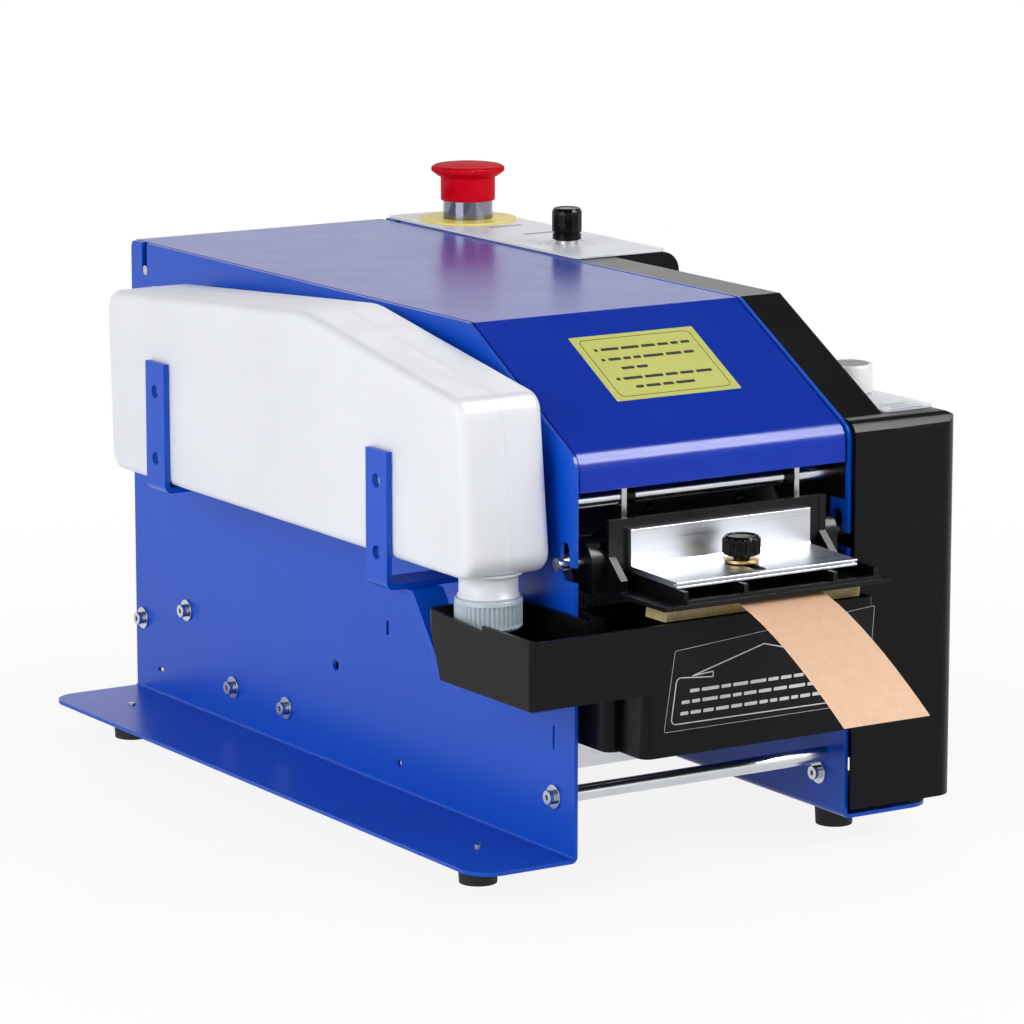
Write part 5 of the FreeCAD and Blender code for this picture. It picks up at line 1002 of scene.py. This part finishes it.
def bristle_block():
    """The bristles: the block's four upright faces folded into tufts, and an uneven top.

    Round the block's plan the surface goes in and out by depth * (0.5 - 0.5 cos(k s)) of the
    distance s; upwards the block leans from its foot to the tape's level.
    """
    low, high, plan = brush_plan(1.0)
    plan = filled_in(plan, TUFT_SPACING)
    distance = np.cumsum(np.linalg.norm(np.roll(plan, -1, axis=0) - plan, axis=1))
    tufts = round(distance[-1] / TUFT_PITCH)
    fold = (0.5 - 0.5 * np.cos(FULL_TURN * tufts * distance / distance[-1])) * TUFT_DEPTH
    levels = np.linspace(0.0, 1.0, 7)
    opening = 0.4 + 0.6 * levels
    rings = plan[None] - outward(plan)[None] * fold[None, :, None] * opening[:, None, None]
    lean = BRUSH_LEAN * (high.z - HOLDER_TOP) / (high.z - low.z)
    points = np.empty((len(levels) + 1, len(plan), 3))
    points[:-1, :, 0] = low.x + rings[..., 0]
    points[:-1, :, 1] = low.y + rings[..., 1] + (lean * (1 - levels))[:, None]
    points[:-1, :, 2] = HOLDER_TOP + (levels * (high.z - HOLDER_TOP))[:, None]
    points[-2, :, 2] -= np.random.default_rng(3).uniform(0.0, RAGGED, len(plan))
    points[-1] = points[-2].mean(axis=0)
    points[-1, :, 2] = high.z - SUNK
    base = points[:1].copy()
    base[..., :2] = points[0, :, :2].mean(axis=0)
    return surface("brush_tufts", np.concatenate([base, points]))


def cross_screw(name, centre, out, radius=3.4, rise=1.3):
    """A round-headed screw with a cross recess: a turned dome whose middle dips along two bars.

    Reach = radius sin t, height = rise cos t, less the recess where the point is in a bar.
    """
    recess_half, recess_deep, recess_reach = 0.55, 0.8, 0.62
    out, side = Vector(out), Vector(Z_WAY)
    up = out.cross(side)
    rings = np.linspace(0.0, 1.0, 14) * math.pi / 2
    angle = np.linspace(0.0, FULL_TURN, 48, endpoint=False)
    reach = np.sin(rings)[:, None] * radius * np.ones_like(angle)
    height = np.cos(rings)[:, None] * rise * np.ones_like(angle)
    u, v = reach * np.cos(angle), reach * np.sin(angle)
    dips = (np.minimum(np.abs(u), np.abs(v)) < recess_half) & (reach < radius * recess_reach)
    grid = np.stack([u, v, np.where(dips, height - recess_deep, height)], axis=-1) * MM
    grid = np.concatenate([grid, np.zeros((1, len(angle), 3))])
    return surface(name, np.array(centre) + grid @ np.array((side, up, out)))


def guard_screw_heads():
    """The two screws of the guard plate, at the ends of the CAD screws' box."""
    low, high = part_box("guard_screws")
    radius = (high.z - low.z) / 2
    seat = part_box("guard_plate")[0].y
    return joined("guard_screw_heads", [
        cross_screw("guard_screw", (x, seat, low.z + radius), (0.0, -1.0, 0.0), radius / MM,
                    (seat - low.y) / MM) for x in (low.x + radius, high.x - radius)])


def housing_screws():
    """Four screws in the housing's rear face, given outwards from the plate and upwards."""
    low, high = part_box("housing_cover")
    return joined("housing_screws", [
        cross_screw("housing_screw", (low.x + out * MM, high.y, PLATE_LOW.z + up * MM), Y_WAY)
        for up in (40.0, 226.0) for out in (14.0, 50.0)])


def inlet_pins():
    """Three flat contacts in the mains inlet, with rounded tips."""
    low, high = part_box("power_inlet")
    middle = Vector(((low.x + high.x) / 2, high.y - 2.0 * MM, (low.z + high.z) / 2))
    inlet = Face(middle, X_WAY, Z_WAY)
    return joined("inlet_pins", [
        inlet.moved(across, up).plate("inlet_pin", rounded_box(2.0, 4.0, 0.8), 14.0)
        for across, up in ((-7.0, 0.0), (7.0, 0.0), (0.0, 4.0))])


def inner_liner():
    """A thin black sheet on the right plate's inner face, cut back round the pivot's notch:
    painted shade that keeps the inside of the right plate dark.
    """
    thick = 0.6
    face = Face((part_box("front_tie_rod")[1].x - thick * MM, PLATE_LOW.y, PLATE_LOW.z),
                Y_WAY, Z_WAY)
    outline = arc_outline(((2.5, 127.0, 0), (100.0, 127.0, 2), (100.0, 248.0, 2),
                           (2.5, 192.0, 2), (2.5, 164.0, 0), (15.0, 164.0, 2),
                           (15.0, 137.0, 2), (2.5, 137.0, 0)), CORNER_STEPS)
    return face.plate("inner_liner", outline, thick)


# ---------------------------------------------------------------- operators

class DISPENSER_OT_sheet_metal(bpy.types.Operator):
    """Finish the painted side plates, cover, brackets and strap"""

    bl_idname = "dispenser.sheet_metal"
    bl_label = "Sheet Metal"

    def execute(self, context):
        softened("left_side_plate", "right_side_plate", "front_bottle_bracket",
                 "rear_bottle_bracket", "tank_strap", "top_cover", "cross_plate",
                 sharp=SHARP_SHEET)
        softened("cover_hinge_pins", width=0)
        return {"FINISHED"}


class DISPENSER_OT_housing(bpy.types.Operator):
    """Finish the control housing with its screws, and what is inside it"""

    bl_idname = "dispenser.housing"
    bl_label = "Housing"

    def execute(self, context):
        softened("housing_cover", sharp=SHARP_SHEET)
        softened("motor", "control_board", "power_inlet")
        softened("motor_pulley", "drive_belt", "feed_pulley", width=0)
        as_piece(housing_screws(), "chassis", "knob_black")
        as_piece(inlet_pins(), "chassis", "bright_steel")
        return {"FINISHED"}


class DISPENSER_OT_hardware(bpy.types.Operator):
    """Finish the rods, screws, washers, feet, rollers and blades"""

    bl_idname = "dispenser.hardware"
    bl_label = "Hardware"

    def execute(self, context):
        softened("front_tie_rod", "inner_tie_rods", "roll_axles", "front_roll_roller",
                 "rear_roll_roller", "guide_rod", "feed_shaft", "feed_roller", "feed_bearings",
                 "press_pivot_pins", width=0)
        softened("rod_screws", "rod_washers", "rubber_feet", "foot_screws", "guide_fingers",
                 "rod_collars", width=0.15)
        in_place_of("guard_screws", guard_screw_heads(), SHARP, "knob_black")
        softened("guard_plate", "fixed_blade", "moving_blade", "cutter_solenoid",
                 "pressure_wheel")
        softened("pressure_arm", finish="black_frame")
        # A black sheet over the right plate's inner face, as painted shade.
        as_piece(inner_liner(), "chassis", "black_frame")
        return {"FINISHED"}


class DISPENSER_OT_tank(bpy.types.Operator):
    """Finish the water tank and put the film on its front"""

    bl_idname = "dispenser.tank"
    bl_label = "Tank"

    def execute(self, context):
        softened("water_tank", width=0.5)
        tank_label()
        return {"FINISHED"}


class DISPENSER_OT_press(bpy.types.Operator):
    """Finish the press frame and weight plate, and make the fluted thumbscrew"""

    bl_idname = "dispenser.press"
    bl_label = "Press"

    def execute(self, context):
        softened("press_frame", width=0.3)
        softened("weight_plate", "thumbscrew_collar", width=0.2)
        flutes = context.scene.dispenser_sizes.knob_flutes
        in_place_of("thumbscrew_knob", thumbscrew_knob(flutes), SHARP_GRIP)
        return {"FINISHED"}


class DISPENSER_OT_bottle(bpy.types.Operator):
    """Make the blown bottle with its neck, and the ribbed cap"""

    bl_idname = "dispenser.bottle"
    bl_label = "Bottle"

    def execute(self, context):
        sizes = context.scene.dispenser_sizes
        in_place_of("water_bottle", bottle_shell(sizes), SHARP_ROUND)
        as_piece(bottle_neck(), body_of("water_bottle"), SLOT_OF["water_bottle"],
                 sharp=SHARP_ROUND)
        in_place_of("bottle_cap", ribbed_cap(sizes.cap_ribs), SHARP_TUFT)
        return {"FINISHED"}


class DISPENSER_OT_controls(bpy.types.Operator):
    """Make the emergency stop, the knobs, and the prints on the two panels"""

    bl_idname = "dispenser.controls"
    bl_label = "Controls"

    def execute(self, context):
        sizes = context.scene.dispenser_sizes
        softened("top_control_panel", "lower_control_panel", "estop_bezel", "estop_stem",
                 "speed_knob_collar", width=0.2)
        softened("estop_ring", width=0.2, finish="ring_yellow")
        in_place_of("estop_head", stop_head(sizes.button_teeth), SHARP_ROUND)
        in_place_of("speed_knob", speed_knob(sizes.knob_ridges), SHARP_GRIP)
        in_place_of("length_dial", length_dial(), SHARP_GRIP)
        as_piece(dial_face(), "length_dial", "dial_grey", "dial_top", sharp=SHARP_GRIP)
        panel_prints()
        return {"FINISHED"}


class DISPENSER_OT_label(bpy.types.Operator):
    """Put the yellow label on the cover's slope"""

    bl_idname = "dispenser.label"
    bl_label = "Slope Label"

    def execute(self, context):
        slope_label(context.scene.dispenser_sizes)
        return {"FINISHED"}


class DISPENSER_OT_brush(bpy.types.Operator):
    """Make the tufted brush on its wooden block"""

    bl_idname = "dispenser.brush"
    bl_label = "Brush"

    def execute(self, context):
        softened("brush_block")
        in_place_of("brush_bristles", bristle_block(), SHARP_TUFT)
        as_piece(bristle_holder(), body_of("brush_bristles"), SLOT_OF["brush_block"],
                 "knob_black", sharp=SHARP_TUFT)
        return {"FINISHED"}


class DISPENSER_OT_paper(bpy.types.Operator):
    """Finish the tape roll, its core, the web and the cut strip"""

    bl_idname = "dispenser.paper"
    bl_label = "Paper"

    def execute(self, context):
        softened("tape_roll", width=0, finish="roll_paper")
        softened("tape_core", "tape_strip", "tape_web", width=0)
        return {"FINISHED"}


# ---------------------------------------------------------------- stage

# The view: degrees round from the front and down, and the camera's place in millimetres.
VIEW_TURN, VIEW_DIP = 32.358, 11.046
CAMERA_SPOT = (-1289.4, -1978.3, 635.8)
SENSOR_WIDTH, CLIP_END = 36.0, 60.0
# Each lamp: its name, place, aim, width and height, the way its height runs, and whether it
# lights matt surfaces as well as showing in gloss.
MIDDLE = (0.0, 0.0, 0.13)
LAMPS = (
    ("key", (-2.1, -0.5, 0.9), MIDDLE, (1.6, 1.2), Z_WAY, True),
    ("rear", (1.08, 1.58, 1.57), MIDDLE, (1.4, 1.0), Z_WAY, True),
    ("strip", (1.15, -1.45, 1.27), MIDDLE, (1.6, 0.3), Z_WAY, True),
    ("fill", (0.6, -2.2, 0.8), MIDDLE, (1.2, 1.0), Z_WAY, True),
    ("glint", (1.21, -1.18, 1.9), (0.0, -0.2, 0.2), (0.7, 1.7), (0.0, 0.866, 0.5), False),
)
# The ceiling that glossy surfaces see: heights between which it dims, and how far.
CEILING_START, CEILING_END, CEILING_SHADE = 0.3, 0.7, 0.06
# Metres from the middle between which the floor runs out to plain white, from this share of it.
FADE_START, FADE_END, FADE_SHARE = 0.22, 0.9, 0.88
FLOOR_REACH = 12.0
WHITE = (1.0, 1.0, 1.0, 1.0)


def put(context, name, data, place, turn):
    """A camera or lamp at a place, turned by a quaternion."""
    holder = bpy.data.objects.new(name, data)
    context.scene.collection.objects.link(holder)
    holder.location = place
    holder.rotation_mode = "QUATERNION"
    holder.rotation_quaternion = turn
    return holder


def camera(context):
    """A long lens at the usual three-quarter view from the bottle's side."""
    data = bpy.data.cameras.new("view")
    data.lens = context.scene.dispenser_stage.lens
    data.sensor_width, data.clip_end = SENSOR_WIDTH, CLIP_END
    turn, dip = math.radians(VIEW_TURN), math.radians(VIEW_DIP)
    ahead = Vector((math.sin(turn) * math.cos(dip), math.cos(turn) * math.cos(dip),
                    -math.sin(dip)))
    context.scene.camera = put(context, "view", data, spot(*CAMERA_SPOT),
                               ahead.to_track_quat("-Z", "Y"))


def softbox(context, name, place, aim, size, tall, matt):
    """A rectangular lamp aimed at a point, its height along the direction tall."""
    data = bpy.data.lights.new(name, "AREA")
    data.shape = "RECTANGLE"
    data.size, data.size_y = size
    data.energy = getattr(context.scene.dispenser_stage, name + "_power")
    back = (Vector(place) - Vector(aim)).normalized()
    side = Vector(tall).cross(back).normalized()
    turn = Matrix((side, back.cross(side), back)).transposed().to_quaternion()
    put(context, name, data, place, turn).visible_diffuse = matt


def seen_directly(nodes):
    """A value of 1 for camera, mirror and glass rays, and 0 for the rest."""
    path = nodes.node("LightPath").outputs
    value = path["Is Camera Ray"]
    for kind in ("Is Glossy Ray", "Is Transmission Ray"):
        value = nodes.node("Math", {0: value, 1: path[kind]}, operation="MAXIMUM").outputs[0]
    return value


def blended(nodes, out, share, first, second):
    """Send two shaders, mixed by a share, to the tree's output."""
    mix = nodes.node("MixShader", {0: share, 1: first.outputs[0], 2: second.outputs[0]})
    nodes.node("Output" + out, {0: mix.outputs[0]})


def world(context):
    """White where it is seen or mirrored, under a dim ceiling, and dimmer where it lights."""
    made = bpy.data.worlds.new("studio")
    context.scene.world = made
    made.use_nodes = True
    nodes = Nodes(made.node_tree)
    nodes.tree.nodes.clear()
    way = nodes.node("TexCoord").outputs["Generated"]
    height = nodes.node("SeparateXYZ", {0: way}).outputs["Z"]
    ceiling = nodes.spread(height, 1.0, CEILING_SHADE, CEILING_START, CEILING_END, "SMOOTHSTEP")
    dim = nodes.node("Background", {"Color": WHITE,
                                    "Strength": context.scene.dispenser_stage.ambient})
    white = nodes.node("Background", {"Color": WHITE, "Strength": ceiling})
    blended(nodes, "World", seen_directly(nodes), dim, white)


def floor(context):
    """A level floor that takes the object's shadow near it and runs out to plain white."""
    made = bpy.data.materials.new("floor")
    made.use_nodes = True
    nodes = Nodes(made.node_tree)
    nodes.tree.nodes.clear()
    place = nodes.node("TexCoord").outputs["Object"]
    distance = nodes.node("VectorMath", {0: place}, operation="LENGTH").outputs["Value"]
    fade = nodes.spread(distance, FADE_SHARE, 1.0, FADE_START, FADE_END, "SMOOTHSTEP")
    share = nodes.node("Math", {0: seen_directly(nodes), 1: fade}, operation="MULTIPLY")
    colour = (*context.scene.dispenser_stage.floor_colour, 1.0)
    blended(nodes, "Material", share.outputs[0], nodes.node("BsdfDiffuse", {"Color": colour}),
            nodes.node("Emission", {"Strength": 1.0}))
    mesh = bpy.data.meshes.new("floor")
    mesh.from_pydata([(x * FLOOR_REACH, y * FLOOR_REACH, 0.0)
                      for x, y in ((-1, -1), (1, -1), (1, 1), (-1, 1))], [], [(0, 1, 2, 3)])
    mesh.materials.append(made)
    ground = bpy.data.objects.new("floor", mesh)
    context.scene.collection.objects.link(ground)


class DISPENSER_OT_stage(bpy.types.Operator):
    """Set up the floor, the light all round, five softboxes and the camera"""

    bl_idname = "dispenser.stage"
    bl_label = "Stage"

    def execute(self, context):
        floor(context)
        world(context)
        for lamp in LAMPS:
            softbox(context, *lamp)
        camera(context)
        context.scene.view_settings.view_transform = "Standard"
        return {"FINISHED"}


class DISPENSER_PT_panel(bpy.types.Panel):
    """The dispenser's settings and the steps that build it"""

    bl_label = "Tape Dispenser"
    bl_idname = "DISPENSER_PT_panel"
    bl_space_type = "VIEW_3D"
    bl_region_type = "UI"
    bl_category = "Dispenser"

    def draw(self, context):
        layout = self.layout
        for group in GROUPS:
            settings = getattr(context.scene, group)
            column = layout.column()
            for key in settings.__annotations__:
                column.prop(settings, key)
        for step in STEPS:
            layout.operator(step.bl_idname)


GROUPS = {"dispenser_colours": DispenserColours, "dispenser_sizes": DispenserSizes,
          "dispenser_stage": DispenserStage}
STEPS = (DISPENSER_OT_sheet_metal, DISPENSER_OT_housing, DISPENSER_OT_hardware,
         DISPENSER_OT_tank, DISPENSER_OT_press, DISPENSER_OT_bottle, DISPENSER_OT_controls,
         DISPENSER_OT_label, DISPENSER_OT_brush, DISPENSER_OT_paper, DISPENSER_OT_stage)


def register():
    for name, group in GROUPS.items():
        bpy.utils.register_class(group)
        setattr(bpy.types.Scene, name, PointerProperty(type=group))
    for step in (*STEPS, DISPENSER_PT_panel):
        bpy.utils.register_class(step)


def unregister():
    for step in (DISPENSER_PT_panel, *reversed(STEPS)):
        bpy.utils.unregister_class(step)
    for name, group in GROUPS.items():
        delattr(bpy.types.Scene, name)
        bpy.utils.unregister_class(group)


def main():
    register()
    for step in STEPS:
        family, name = step.bl_idname.split(".")
        getattr(getattr(bpy.ops, family), name)()


if __name__ == "__main__":
    main()
